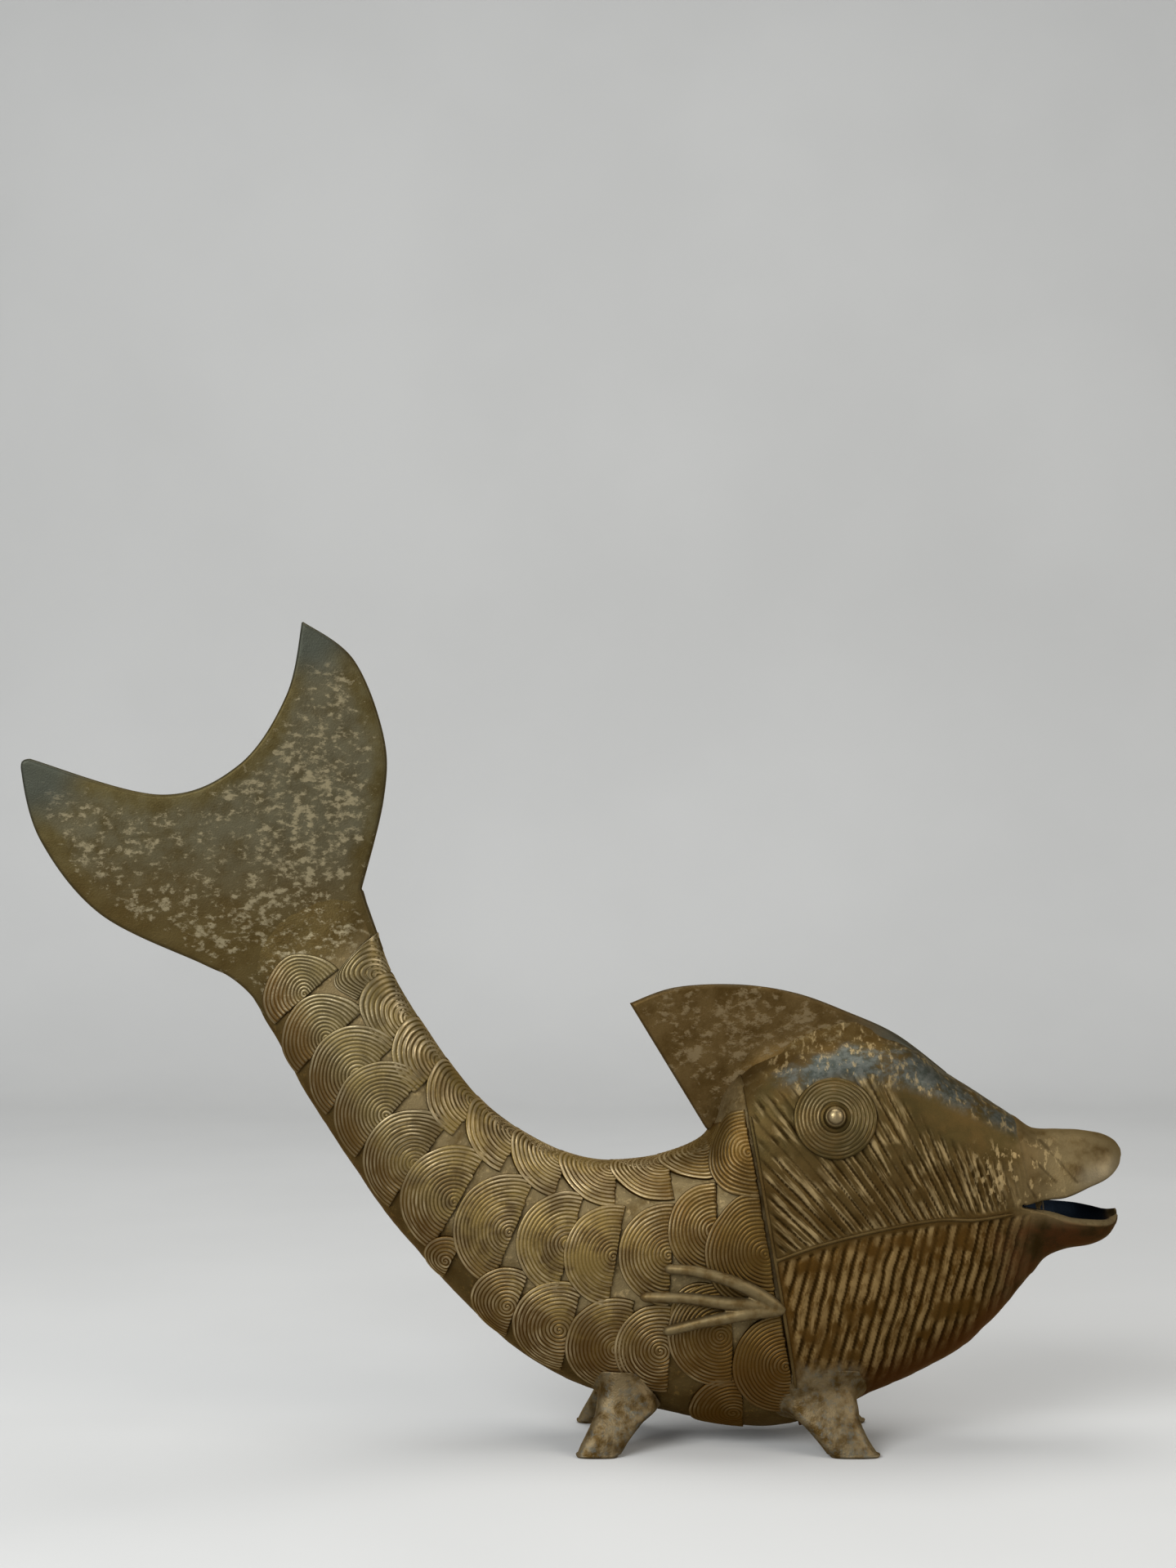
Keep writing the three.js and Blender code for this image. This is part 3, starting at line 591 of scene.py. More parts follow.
def sailSwell(points, girth):
    x = points[..., 0]
    crest = np.where(np.cos(girth) > 0.3, np.abs(points[..., 1]), 60)
    room = np.clip(lineAt(x, sailRoot["top"]) - points[..., 2] - sailRoot["below"], 0, sailRoot["height"])
    swell = room * np.exp(-np.maximum(crest - sailRoot["half"], 0) / sailRoot["width"])
    reach = np.interp(x, *sailRoot["reach"])
    wide, narrow = sailRoot["reachEdge"]
    ragged = crest + sailRoot["reachLump"] * lumps(points, 5, 33)
    heel = step(reach + wide, reach + narrow, ragged) * step(*sailRoot["heelEnd"], x)
    before = x < sailRoot["end"]
    return swell * step(*sailRoot["rise"], x) * before, heel * step(*sailRoot["heelStart"], x) * before


# trunk skin
trunk = {
    "start": -18, "overlap": 0.5, "ringStep": 2.0, "sides": 220, "lump": 0.3, "fineLump": 0.15,
    "bareNeck": (22, 8), "crest": 0.6, "crestWidth": 9, "crestFrom": (20, 34),
}


def trunkMesh():
    runs = np.arange(trunk["start"], gillRun + 0.6, trunk["ringStep"])
    runs[-1] = gillRun + trunk["overlap"]
    run, girth = np.meshgrid(runs, np.arange(trunk["sides"]) / trunk["sides"] * fullTurn, indexing="ij")
    grid = skin(run, girth)
    lift = trunk["lump"] * lumps(grid, 9, 3) + trunk["fineLump"] * lumps(grid, 3.5, 4)
    onBack = np.where(np.cos(girth) > 0.2, np.abs(grid[..., 1]), 99)
    lift = lift + trunk["crest"] * np.exp(-(onBack / trunk["crestWidth"]) ** 2) * step(*trunk["crestFrom"], run)
    swell, heel = sailSwell(grid, girth)
    grid = grid + skinOut(run, girth) * (lift + swell)[..., None]
    return cappedMesh("trunk_skin", grid, {
        "low": -np.cos(girth), "neck": step(*trunk["bareNeck"], run), "heel": heel})


place("trunk_skin", trunkMesh(), skinMetal, "body_metal", "trunk_shell")
print("trunk skin done")


# head skin with its hatched cheek and jaw bars
head = {
    "overlap": 0.4, "ringStep": 0.6, "sides": 460, "lump": 0.25, "fineLump": 0.12,
    "rise": 1.5, "riseReach": 18, "riseSide": (0.95, 0.7),
    "cheekPivot": (185, -15.8), "cheekStep": 0.0235,  # the cheek's bars fan out from a point below the lips
    "jawLean": 0.24, "jawPitch": 3.9, "jawWander": 2.4,
    "grooveDepth": 0.75, "cheekGroove": 0.27, "jawGroove": 0.4,
    "cheekEnd": (166, 150), "jawEnd": (170, 158), "jawUnder": (-0.95, -0.8), "keel": (-0.7, -0.93),
    # from where to where these edges fade
    "threadGap": (0.8, 2.2), "cheekFade": (0, 6), "barEdge": (0.18, 0.08), "keptFrom": (-0.75, -0.1),
    "gillGap": (0.6, 3.4), "footingEdge": (1.0, 0.55), "browEdge": (0, 7), "jawEdge": (-2, 4),
    "slitEdge": (0.4, 0.2), "slitFrom": (161.5, 163), "lipEdge": (6, 1.5), "evenAt": 35,
    "cheekTop": [(60, 125), (66, 128), (85, 133), (104, 138), (118, 128), (130, 117), (148, 106), (172, 104)],
    "mouthLine": [(50, 62), (75, 70.8), (103, 78.9), (128, 83), (149.5, 84.4), (163, 85.6), (180, 86)],
    "browLow": [(60, 134), (74, 128), (84, 126), (96, 130), (112, 128), (122, 127), (140, 119), (160, 110),
                (175, 106)],
    "browFrom": (62, 82),
    "footing": (91, 22, 17, 14),  # middle and half sizes of the patch over the front foot
    "slit": [(161, 87.4, 0), (163, 87.4, 0.5), (166, 87.3, 1.0), (171, 87.1, 2.2)],  # x, z and half its height
    "slitDepth": 2.2, "lipDip": 0.8,
    "wall": [(0, 2.0), (0, 3.0), (8, 3.2)],  # how far back from the lips and how deep it turns in
}


def headRise(run, girth):  # the head stands level with the scales at the gill, but not under the sail
    fade = np.exp(-np.maximum(run - gillRun, 0) ** 2 / head["riseReach"] ** 2)
    return head["rise"] * fade * step(*head["riseSide"], np.cos(girth))


def hatch(points, girth):
    x, z = points[..., 0], points[..., 2]
    mouth = lineAt(x, head["mouthLine"])
    cheek = z > mouth
    wander = 0.07 * lumps(points, 12, 11) + 0.03 * lumps(points, 3, 12)
    pivotX, pivotZ = head["cheekPivot"]
    fan = np.arctan2(z - pivotZ, x - pivotX) / head["cheekStep"]
    comb = (x - head["jawLean"] * z) / head["jawPitch"]
    phase = np.where(cheek, fan, comb) + wander * np.where(cheek, 1, head["jawWander"])
    along = np.where(cheek, np.hypot(x - pivotX, z - pivotZ), z + 300)
    upper = step(*head["threadGap"], z - mouth) * step(*head["cheekFade"], lineAt(x, head["cheekTop"]) - z)
    lower = step(*head["threadGap"], mouth - z) * step(*head["jawUnder"], np.cos(girth))
    upper, lower = upper * step(*head["cheekEnd"], x), lower * step(*head["jawEnd"], x)
    width = np.where(cheek, head["cheekGroove"], head["jawGroove"]) + 0.1 * lumps(points, 6, 14)
    before, after = head["barEdge"]
    bar = step(width - before, width + after, np.abs((phase % 1) - 0.5) * 2)
    kept = step(*head["keptFrom"], lumps(points, 8, 21) + 0.5 * lumps(points, 2.6, 22))
    return bar, np.maximum(upper, lower), kept, phase, along


def headMesh():
    runs = np.append(np.arange(gillRun - head["overlap"], lipRun - 0.3, head["ringStep"]), lipRun)
    dense = np.linspace(0, fullTurn, 4001)
    reach = measured(skin(gillRun + head["evenAt"], dense))
    turns = np.interp(np.arange(head["sides"]) / head["sides"] * reach[-1], reach, dense)
    run, girth = np.meshgrid(runs, turns, indexing="ij")
    bare = skin(run, girth)
    x, z = bare[..., 0], bare[..., 2]
    bar, field, kept, phase, along = hatch(bare, girth)
    footX, footZ, footHalf, footRise = head["footing"]
    away = np.hypot((x - footX) / footHalf, (z - footZ) / footRise)
    footing = step(*head["footingEdge"], away + 0.22 * lumps(bare, 5, 41) + 0.12 * lumps(bare, 2, 42))
    field = field * step(*head["gillGap"], run - gillRun) * (1 - footing)
    lift = headRise(run, girth) + head["lump"] * lumps(bare, 8, 5) + head["fineLump"] * lumps(bare, 3, 6)
    lift = lift - head["grooveDepth"] * (1 - bar) * field * (0.3 + 0.7 * kept)
    # the skin swells up to the sail on the crest, and dips at the mouth's corner and under the lips
    swell, heel = sailSwell(bare, girth)
    slitX, slitZ, slitHalf = zip(*head["slit"])
    half = np.interp(x, slitX, slitHalf)
    off = np.abs(z - np.interp(x, slitX, slitZ))
    outside, within = head["slitEdge"]
    slit = step(half + outside, half - within, off) * step(*head["slitFrom"], x)
    start, end = head["lipEdge"]
    lift = lift + swell - head["slitDepth"] * slit - head["lipDip"] * step(lipRun - start, lipRun - end, run)
    outer = bare + skinOut(run, girth) * lift[..., None]
    marks = {
        "bar": bar * field * kept, "groove": (1 - bar) * field * (0.45 + 0.55 * kept),
        "phase": phase, "along": along,
        "brow": step(*head["browEdge"], z - lineAt(x, head["browLow"])) * step(*head["browFrom"], x),
        "jaw": step(*head["jawEdge"], lineAt(x, head["mouthLine"]) - z), "keel": step(*head["keel"], np.cos(girth)),
        "slit": slit, "heel": heel, "footing": footing}
    # the wall turns in at the mouth and ends behind the core's face
    inner = np.stack([skin(lipRun - back, turns, -depth) for back, depth in head["wall"]])
    return cappedMesh("head_skin", np.concatenate([outer, inner]), {
        key: np.pad(values, ((0, len(inner)), (0, 0))) for key, values in marks.items()})


place("head_skin", headMesh(), headMetal, "body_metal", "head_shell")
print("head skin done")


# coil scales, each one thread wound flat and laid on the skin
coil = {
    "threadPitch": 1.35, "threadHeight": 0.42, "rowsPerThread": 6, "columns": 120,
    "wallRows": 3, "wallWidth": 0.7, "wallDepth": 0.9,
    "crown": 0.25, "lean": 0.5, "chord": 0.06, "bellyChord": 0.22, "wobble": 0.34,
    "lift": {"ridge": 0.7, "flank": 0.75, "gill": 0.9, "belly": 1.0}, "bellyStep": 0.12,
    "waver": 0.09, "wornFrom": (0.38, 0.6), "wornLoss": 0.6, "wornHeight": 0.4,
    "ridgeRow": {"count": 9, "first": 30, "pitch": 19.1, "radius": (13.5, 18.3), "stretch": (1.42, 1.14),
                 "spread": 7},
    "flankRow": (16.5, 210),  # run of the first and the last
    "flank": [  # distance from the scale behind, rise, radius
        (0, -0.28, 15), (18, -0.27, 17), (17.5, -0.14, 18.5), (17, -0.1, 19.5), (19, -0.16, 19.5), (19.5, -0.1, 20),
        (23, 0.07, 20.5), (22, 0.26, 18.5), (18, 0.26, 18), (20.5, 0.29, 18), (18, 0.4, 17)],
    "gill": {"upper": (230, 0.63, 16), "middle": (230, 0.06, 21.5), "lower": (231, -0.59, 19)},  # run, rise, radius
    "belly": [(115, -0.71, 9), (139.5, -0.6, 14), (158, -0.51, 17.5), (177, -0.51, 18.5), (191, -0.45, 16.5),
              (210.5, -0.31, 19), (213.5, -0.86, 16), (204.5, -0.155, 11.5)],
    "runSpan": 400.0, "girthSpan": 8.0,  # skin units that fill the guide's map once
    "guideStep": 1.6, "guideTurns": (-3.85, 3.85, 181),
    "mapRuns": (-2.2, 1.5, 75), "mapTurns": (-1.7, 1.7, 121), "mapReach": 1.3, "mapAhead": 0.5,
}


def skinGuide():
    runs = np.arange(-bodyShape["tailReach"], lipRun + 10, coil["guideStep"])
    run, girth = np.meshgrid(runs, np.linspace(*coil["guideTurns"]), indexing="ij")
    mesh = meshFrom("skin_guide", skin(run, girth).reshape(-1, 3), gridFaces(*run.shape, False))
    outward = mesh.attributes.new("outward", "FLOAT_VECTOR", "POINT")
    outward.data.foreach_set("vector", skinOut(run, girth).astype(np.float32).ravel())
    chart = np.stack([(run + bodyShape["tailReach"]) / coil["runSpan"], 0.5 + girth / coil["girthSpan"]], -1)
    corners = np.empty(len(mesh.loops), int)
    mesh.loops.foreach_get("vertex_index", corners)
    mesh.uv_layers.new(name="skinMap").data.foreach_set("uv", chart.reshape(-1, 2)[corners].ravel())
    return linked("skin_guide", mesh)


def coilTree():
    tree, root, get = newTree("coilScale", {
        "Object": ["Skin"], "Material": ["Metal"], "Int": ["Rows", "Columns"],
        "Vector": [f"{way} map {i}" for way in ("Run", "Girth") for i in (1, 2, 3)],
        "Float": ["Centre run", "Centre girth", "Side", "Turns", "Thread pitch", "Thread height", "Rows per thread",
                  "Wall rows", "Chord", "Crown", "Lean", "Base lift", "Spiral", "Wobble", "Stretch", "Seed",
                  "Last run"]})

    def joinedVector(*parts):
        return root.node("ShaderNodeCombineXYZ", None, dict(enumerate(parts)))

    def noise(vector, scale, detail, out=0):
        return root.node("ShaderNodeTexNoise", None, {"Vector": vector, "Scale": scale, "Detail": detail}, out)

    pitch, perThread, turns = get("Thread pitch"), get("Rows per thread"), get("Turns")
    sheet = root.node("GeometryNodeMeshGrid", None, {
        "Size X": 1.0, "Size Y": 1.0, "Vertices X": get("Columns") + 1, "Vertices Y": get("Rows") + 1})
    sheetX, sheetY, _ = root.node("GeometryNodeInputPosition").split()
    turn = sheetX + 0.5
    row = (sheetY + 0.5) * get("Rows")
    angle = turn * fullTurn
    ahead, across = root.calc("COSINE", angle), root.calc("SINE", angle)
    full = turns * perThread + perThread  # the row of the outermost groove
    under = root.calc("GREATER_THAN", row, get("Rows") - 0.5)  # the last row closes the underside
    reach = ((row.low(full) / perThread + turn * get("Spiral") - 1) * pitch).high(0.0)
    chord = get("Chord") / ahead.high(0.001)
    pastChord = (reach - chord) * (1 / coil["wallWidth"])
    pastRows = (row - full) / get("Wall rows")
    wall = pastChord.high(pastRows).high(0.0).low(1.0)
    reach = reach.low(chord) * (1 - under)
    phase = root.calc("FRACT", row / perThread + 0.0001)
    rounded = root.calc("SQRT", (phase * (1 - phase) * 4).high(0.0)) * root.calc("LESS_THAN", row, full + 0.01)
    ahead, across = ahead * reach * get("Stretch"), across * reach
    # the thread was laid by hand, so its line wavers, and it is worn in patches
    flat = joinedVector(ahead * coil["waver"], across * coil["waver"], get("Seed"))
    waver = noise(flat, 1.0, 1.0, 1).split()
    wear = noise(flat, 0.75, 2.0).ramp(*coil["wornFrom"])
    ahead = ahead + (waver[0] - 0.5) * get("Wobble") * 2
    across = across + (waver[1] - 0.5) * get("Wobble") * 2
    ahead2, across2 = ahead * ahead, across * across
    terms = [joinedVector(ahead, across, ahead2), joinedVector(ahead * across, across2, ahead2 * ahead),
             joinedVector(ahead2 * across, ahead * across2, across2 * across)]

    def mapped(way):
        return sum(root.vector("DOT_PRODUCT", term, get(f"{way} map {i}"), 1) for i, term in enumerate(terms, 1))

    girth = get("Centre girth") + mapped("Girth")
    run = get("Centre run") + mapped("Run")
    share = reach / (turns * pitch)
    height = rounded * (1 - wear * coil["wornLoss"]) + wear * coil["wornHeight"]
    top = get("Base lift") + get("Thread height") * height
    top = top + get("Crown") * (1 - share * share)
    top = top - get("Lean") * ahead / (turns * pitch * get("Stretch"))
    lift = top * (1 - wall) - wall * coil["wallDepth"]
    at = joinedVector((run + bodyShape["tailReach"]) / coil["runSpan"],
                      girth * get("Side") / coil["girthSpan"] + 0.5)
    body = root.node("GeometryNodeObjectInfo", None, {"Object": get("Skin")}, "Geometry")
    chart, outward = [root.node("GeometryNodeInputNamedAttribute", {"data_type": "FLOAT_VECTOR"}, {"Name": name})
                      for name in ("skinMap", "outward")]

    def sampled(value):
        return root.node("GeometryNodeSampleUVSurface", {"data_type": "FLOAT_VECTOR"}, {
            "Mesh": body, "Value": value, "Source UV Map": chart, "Sample UV": at})

    spot = root.vector("ADD", sampled(root.node("GeometryNodeInputPosition")), sampled(outward).scaled(lift * mm))
    marks = {
        "thread": rounded * (1 - wall), "along": turn * reach * fullTurn, "ring": row / perThread + get("Seed") * 3,
        "outer": ((share - 0.8) * 5).high(0.0).low(1.0), "wear": wear, "low": -root.calc("COSINE", girth)}
    laid = sheet
    for name, value in marks.items():
        laid = root.node("GeometryNodeStoreNamedAttribute", {"data_type": "FLOAT", "domain": "POINT"}, {
            "Geometry": laid, "Name": name, "Value": value})
    past = root.calc("GREATER_THAN", run, get("Last run"))
    laid = root.node("GeometryNodeDeleteGeometry", {"domain": "POINT"}, {"Geometry": laid, "Selection": past})
    laid = root.node("GeometryNodeSetPosition", None, {"Geometry": laid, "Position": spot})
    laid = root.node("GeometryNodeMergeByDistance", None, {"Geometry": laid, "Distance": 0.00001})
    closeTree(root, laid, get("Metal"))
    return tree


guide = skinGuide()
coilNodes = coilTree()


def coilMap(run, girth, radius):  # run and girth as cubics of a flat coil's two distances
    spot, out = skin(run, girth), skinOut(run, girth)
    forward, across = skinWays(run, girth)
    across /= np.linalg.norm(across)
    ahead = np.cross(across, out)
    ahead *= np.sign(ahead @ forward)
    runs = np.linspace(*coil["mapRuns"])[:, None] * radius
    turns = np.linspace(*coil["mapTurns"])[None, :]
    grid = skin(run + runs, girth + turns) - spot
    flat = np.stack([grid @ ahead, grid @ across], -1)
    reach = np.linalg.norm(grid, axis=-1)
    flat *= (reach / (np.linalg.norm(flat, axis=-1) + 1e-9))[..., None]
    near = (reach < coil["mapReach"] * radius) & (flat[..., 0] < coil["mapAhead"] * radius)
    a, b = flat[near].T
    powers = np.column_stack([a, b, a * a, a * b, b * b, a ** 3, a * a * b, a * b * b, b ** 3])
    goals = np.column_stack([np.broadcast_to(way, near.shape)[near] for way in (runs, turns)])
    return np.linalg.lstsq(powers, goals, rcond=None)[0]


def coilMesh(run, girth, radius, lift, side, seed, extra):
    maps = coilMap(run, girth, radius)
    perThread, wallRows = coil["rowsPerThread"], coil["wallRows"]
    turns = float(round(radius / coil["threadPitch"] - 0.5))
    values = {
        "Skin": guide, "Centre run": float(run), "Centre girth": float(girth), "Side": float(side),
        "Turns": turns, "Thread pitch": radius / (turns + 0.5), "Thread height": coil["threadHeight"],
        "Rows per thread": float(perThread), "Rows": int((turns + 1) * perThread + wallRows + 2),
        "Columns": coil["columns"], "Wall rows": float(wallRows), "Chord": coil["chord"] * radius,
        "Crown": coil["crown"], "Lean": coil["lean"], "Base lift": lift, "Spiral": 1.0,
        "Wobble": coil["wobble"], "Stretch": 1.0, "Seed": seed * 3.7, "Last run": 999.0, "Metal": coilMetal}
    for k, way in enumerate(("Run", "Girth")):
        values.update({f"{way} map {i + 1}": maps[3 * i:3 * i + 3, k].tolist() for i in range(3)})
    mesh = treeMesh("coil", coilNodes, {**values, **extra})
    if np.mean(pointsOf(mesh, "normal") @ skinOut(run, side * girth)) < 0:
        mesh.flip_normals()
    return mesh


def scalePieces():
    count = 0
    row, lifts = coil["ridgeRow"], coil["lift"]
    dense = np.linspace(0, 1.5, 601)
    for i in range(row["count"]):
        share = i / (row["count"] - 1)
        run = np.interp(row["first"] + i * row["pitch"], backReach, middleReach)
        girth = np.interp(row["spread"], measured(skin(run, dense)), dense)
        radius, longer = blended(row["radius"], share), {"Stretch": blended(row["stretch"], share)}
        pair = [coilMesh(run, girth, radius, lifts["ridge"], side, i + 0.5 * side, longer) for side, _ in bothSides]
        place(f"ridge_coils_{i + 1}", joined("ridge", pair), coilMetal, "scale_metal", f"ridge_scale_{i + 1}")
        count += 2
    behind = np.cumsum([gap for gap, _, _ in coil["flank"]])
    for side, word in bothSides:
        for i, (_, rise, radius) in enumerate(coil["flank"]):
            run = blended(coil["flankRow"], behind[i] / behind[-1])
            mesh = coilMesh(run, math.acos(rise), radius, lifts["flank"], side, 20 + i * side, {})
            place(f"{word}_flank_coil_{i + 1}", mesh, coilMetal, "scale_metal", f"{word}_flank_scale_{i + 1}")
            count += 1
        for i, (label, (run, rise, radius)) in enumerate(coil["gill"].items()):
            mesh = coilMesh(run, math.acos(rise), radius, lifts["gill"], side, 50 + i * side,
                            {"Last run": gillRun + 0.6})
            place(f"{word}_gill_coil_{label}", mesh, coilMetal, "scale_metal", f"{word}_gill_scale_{label}")
            count += 1
        group = [coilMesh(run, math.acos(rise), radius, lifts["belly"] - coil["bellyStep"] * i, side, 70 + i * side,
                          {"Chord": coil["bellyChord"] * radius})
                 for i, (run, rise, radius) in enumerate(coil["belly"])]
        place(f"{word}_belly_coils", joined("belly", group), coilMetal, "scale_metal", f"{word}_belly_scales")
        count += len(group)
    print("coil scales:", count)


scalePieces()

# eyes: a low cone of rings with a stud on top
eye = {
    "run": 264.5, "rise": 0.63, "radius": 15.2, "ringHeight": 0.5, "cone": 1.9, "base": 1.0, "wobble": 0.12,
    "sides": 48, "brightFrom": (3.0, 7.0), "wornFrom": (3.0, 6.5),
    "stud": [(5.8, 1.4), (5.6, 2.9), (5.0, 3.4), (4.3, 3.6), (4.0, 4.4), (3.5, 5.2), (3.0, 5.5), (2.8, 6.1),
             (2.3, 6.9), (1.4, 7.5), (0.5, 7.7)],  # radius and height
}


def studMesh(side):
    girth = side * math.acos(eye["rise"])
    spot, up = skin(eye["run"], girth), skinOut(eye["run"], girth)
    ahead = np.cross(up, (0.0, 1.0, 0.0))
    ahead /= np.linalg.norm(ahead)
    radius, height = np.hsplit(throughPoints(eye["stud"], 4), 2)
    turn = np.arange(eye["sides"]) / eye["sides"] * fullTurn
    ring = np.cos(turn)[:, None] * ahead + np.sin(turn)[:, None] * np.cross(up, ahead)
    # the stud's upper part is worn bright, with a painted highlight on its top
    marks = {"thread": 0.3 + 0.7 * step(*eye["brightFrom"], height), "outer": step(*eye["wornFrom"], height)}
    return cappedMesh("stud", spot + radius[..., None] * ring + height[..., None] * up, {
        key: np.repeat(values, eye["sides"], 1) for key, values in marks.items()})


def eyePieces():
    for side, word in bothSides:
        mesh = coilMesh(eye["run"], math.acos(eye["rise"]), eye["radius"], eye["base"], side, 90, {
            "Spiral": 0.0, "Chord": 99.0, "Crown": eye["cone"], "Lean": 0.0, "Thread height": eye["ringHeight"],
            "Wobble": eye["wobble"], "Metal": eyeMetal})
        place(f"{word}_eye_rings", mesh, eyeMetal, "scale_metal", f"{word}_eye_coil")
        place(f"{word}_eye_boss", studMesh(side), bossMetal, "scale_metal", f"{word}_eye_stud")
    print("eyes done")


eyePieces()

# fin plates, flat with worn edges
fins = {
    "tail": {
        "edges": [[(-76, 200.5), (-68, 233), (-68, 256), (-79, 284), (-97.8, 298)],
                  [(-97.8, 298), (-103.5, 271), (-121, 245.5), (-150, 234.8), (-197.5, 248)],
                  [(-197.5, 248), (-200, 243.5), (-193, 218), (-171, 191), (-134, 173), (-124.5, 168.6),
                   (-116.6, 162), (-110.4, 153.5)]],
        "foot": [(-97, 150), (-68, 178)], "half": 2.75, "tips": [(-97.8, 298), (-198, 246)],
        "tipReach": (27, 10), "crusty": 0.1,
    },
    "sail": {
        "edges": [sailRoot["top"]],
        "foot": [(134, 118), (66, 104), (49.4, 113)], "half": 2.25, "tips": [(137, 133.6)],
        "tipReach": (48, 18), "crusty": 0.16,
    },
    "edgeStep": 1.1, "edgeRings": (0.15, 0.45, 0.9, 1.5), "cell": 2.0, "cellGap": 2.2,
    "round": 1.3, "roundPower": 2.4, "wave": 0.22, "lump": 0.12,
    "spread": 2.4, "spreadRise": 3.2, "spreadFrom": (55, 80),  # how the sail widens on the head
}


def finOutline(fin):
    line = [throughPoints(edge, 40, True)[:-1] for edge in fin["edges"]]
    line = np.vstack(line + [fin["edges"][-1][-1:], fin["foot"], line[0][:1]])
    reach = measured(line)
    even = np.linspace(0, reach[-1], int(reach[-1] / fins["edgeStep"]), endpoint=False)
    return np.column_stack([np.interp(even, reach, line[:, k]) for k in (0, 1)])


def edgeGap(outline, points):
    along = np.roll(outline, -1, 0) - outline
    share = np.clip(((points[:, None] - outline) * along).sum(-1) / (along ** 2).sum(-1), 0, 1)
    return np.linalg.norm(points[:, None] - (outline + along * share[..., None]), axis=-1).min(1)


def finSheet(outline):  # a flat sheet of triangles, with close rings along its edge
    count, following = len(outline), np.roll(outline, -1, 0)
    inward = following - np.roll(outline, 1, 0)
    inward = np.column_stack([-inward[:, 1], inward[:, 0]]) / np.linalg.norm(inward, axis=1)[:, None]
    inward *= np.sign(np.sum(outline[:, 0] * following[:, 1] - following[:, 0] * outline[:, 1]))
    seeds = [outline]
    for depth in fins["edgeRings"]:
        ring = outline + inward * depth
        seeds.append(ring[np.abs(edgeGap(outline, ring) - depth) < 0.06 * depth + 0.02])
    low, high, cell = outline.min(0), outline.max(0), fins["cell"]
    lattice = np.array([(x + (j % 2) * cell / 2, z)
                        for j, z in enumerate(np.arange(low[1], high[1], cell * 0.866))
                        for x in np.arange(low[0], high[0], cell)])
    inside = np.zeros(len(lattice), bool)
    for a, b in zip(outline, following):
        between = (a[1] > lattice[:, 1]) != (b[1] > lattice[:, 1])
        cross = (b[0] - a[0]) * (lattice[:, 1] - a[1]) / (b[1] - a[1] + 1e-12) + a[0]
        inside ^= between & (lattice[:, 0] < cross)
    lattice = lattice[inside]
    seeds = np.vstack(seeds + [lattice[edgeGap(outline, lattice) > fins["cellGap"]]])
    loop = [(i, (i + 1) % count) for i in range(count)]
    made = delaunay_2d_cdt([tuple(p) for p in seeds.tolist()], loop, [list(range(count))], 1, 1e-6)
    return np.array([tuple(p) for p in made[0]]), made[2]


def finMesh(name):
    fin = fins[name]
    outline = finOutline(fin)
    flat, triangles = finSheet(outline)
    gap = edgeGap(outline, flat)
    gap[gap < 0.02] = 0
    power = fins["roundPower"]
    half = fin["half"] * (1 - (1 - np.clip(gap / fins["round"], 0, 1)) ** power) ** (1 / power)
    if name == "sail":  # the plate spreads where it stands on the head
        crest = skin(np.linspace(gillRun - 60, lipRun, 400), 0.0)
        rise = np.maximum(flat[:, 1] - np.interp(flat[:, 0], crest[:, 0], crest[:, 2]), 0)
        spread = fins["spread"] * np.exp(-(rise / fins["spreadRise"]) ** 2)
        half = half + spread * step(0, 1.5, gap) * step(*fins["spreadFrom"], flat[:, 0])
    spots = np.column_stack([flat[:, 0], np.zeros(len(flat)), flat[:, 1]])
    bow, lump = fins["wave"] * lumps(spots, 26, 8), fins["lump"] * step(0, 2, gap)
    back = np.flatnonzero(gap)  # both faces share the rim's points
    other = np.arange(len(flat))
    other[back] = len(flat) + np.arange(len(back))
    right, left = spots.copy(), spots[back]
    right[:, 1] = bow - half - lump * lumps(spots, 5, 9)
    left[:, 1] = (bow + half + lump * lumps(spots, 5, 10))[back]
    faces = [tuple(f) for f in triangles] + [tuple(other[list(f)][::-1].tolist()) for f in triangles]
    tips = [step(*fin["tipReach"], np.hypot(flat[:, 0] - x, flat[:, 1] - z)) for x, z in fin["tips"]]
    band = step(9, 2, gap + 2.5 * lumps(spots, 9, 18))
    marks = {"rim": step(1.2, 0.2, gap) * (0.4 + 0.6 * lumps(spots, 12, 13)), "tip": np.max(tips, 0),
             "flaky": 0.5 - 0.35 * band + fin["crusty"] * step(-150, -105, flat[:, 0])}
    marks = {key: np.concatenate([values, values[back]]) for key, values in marks.items()}
    return faceOut(meshFrom(name, np.vstack([right, left]), faces, marks))


place("tail_plate", finMesh("tail"), tailMetal, "fin_metal", "tail_fin")
place("sail_plate", finMesh("sail"), sailMetal, "fin_metal", "sail_fin")
print("fin plates done")

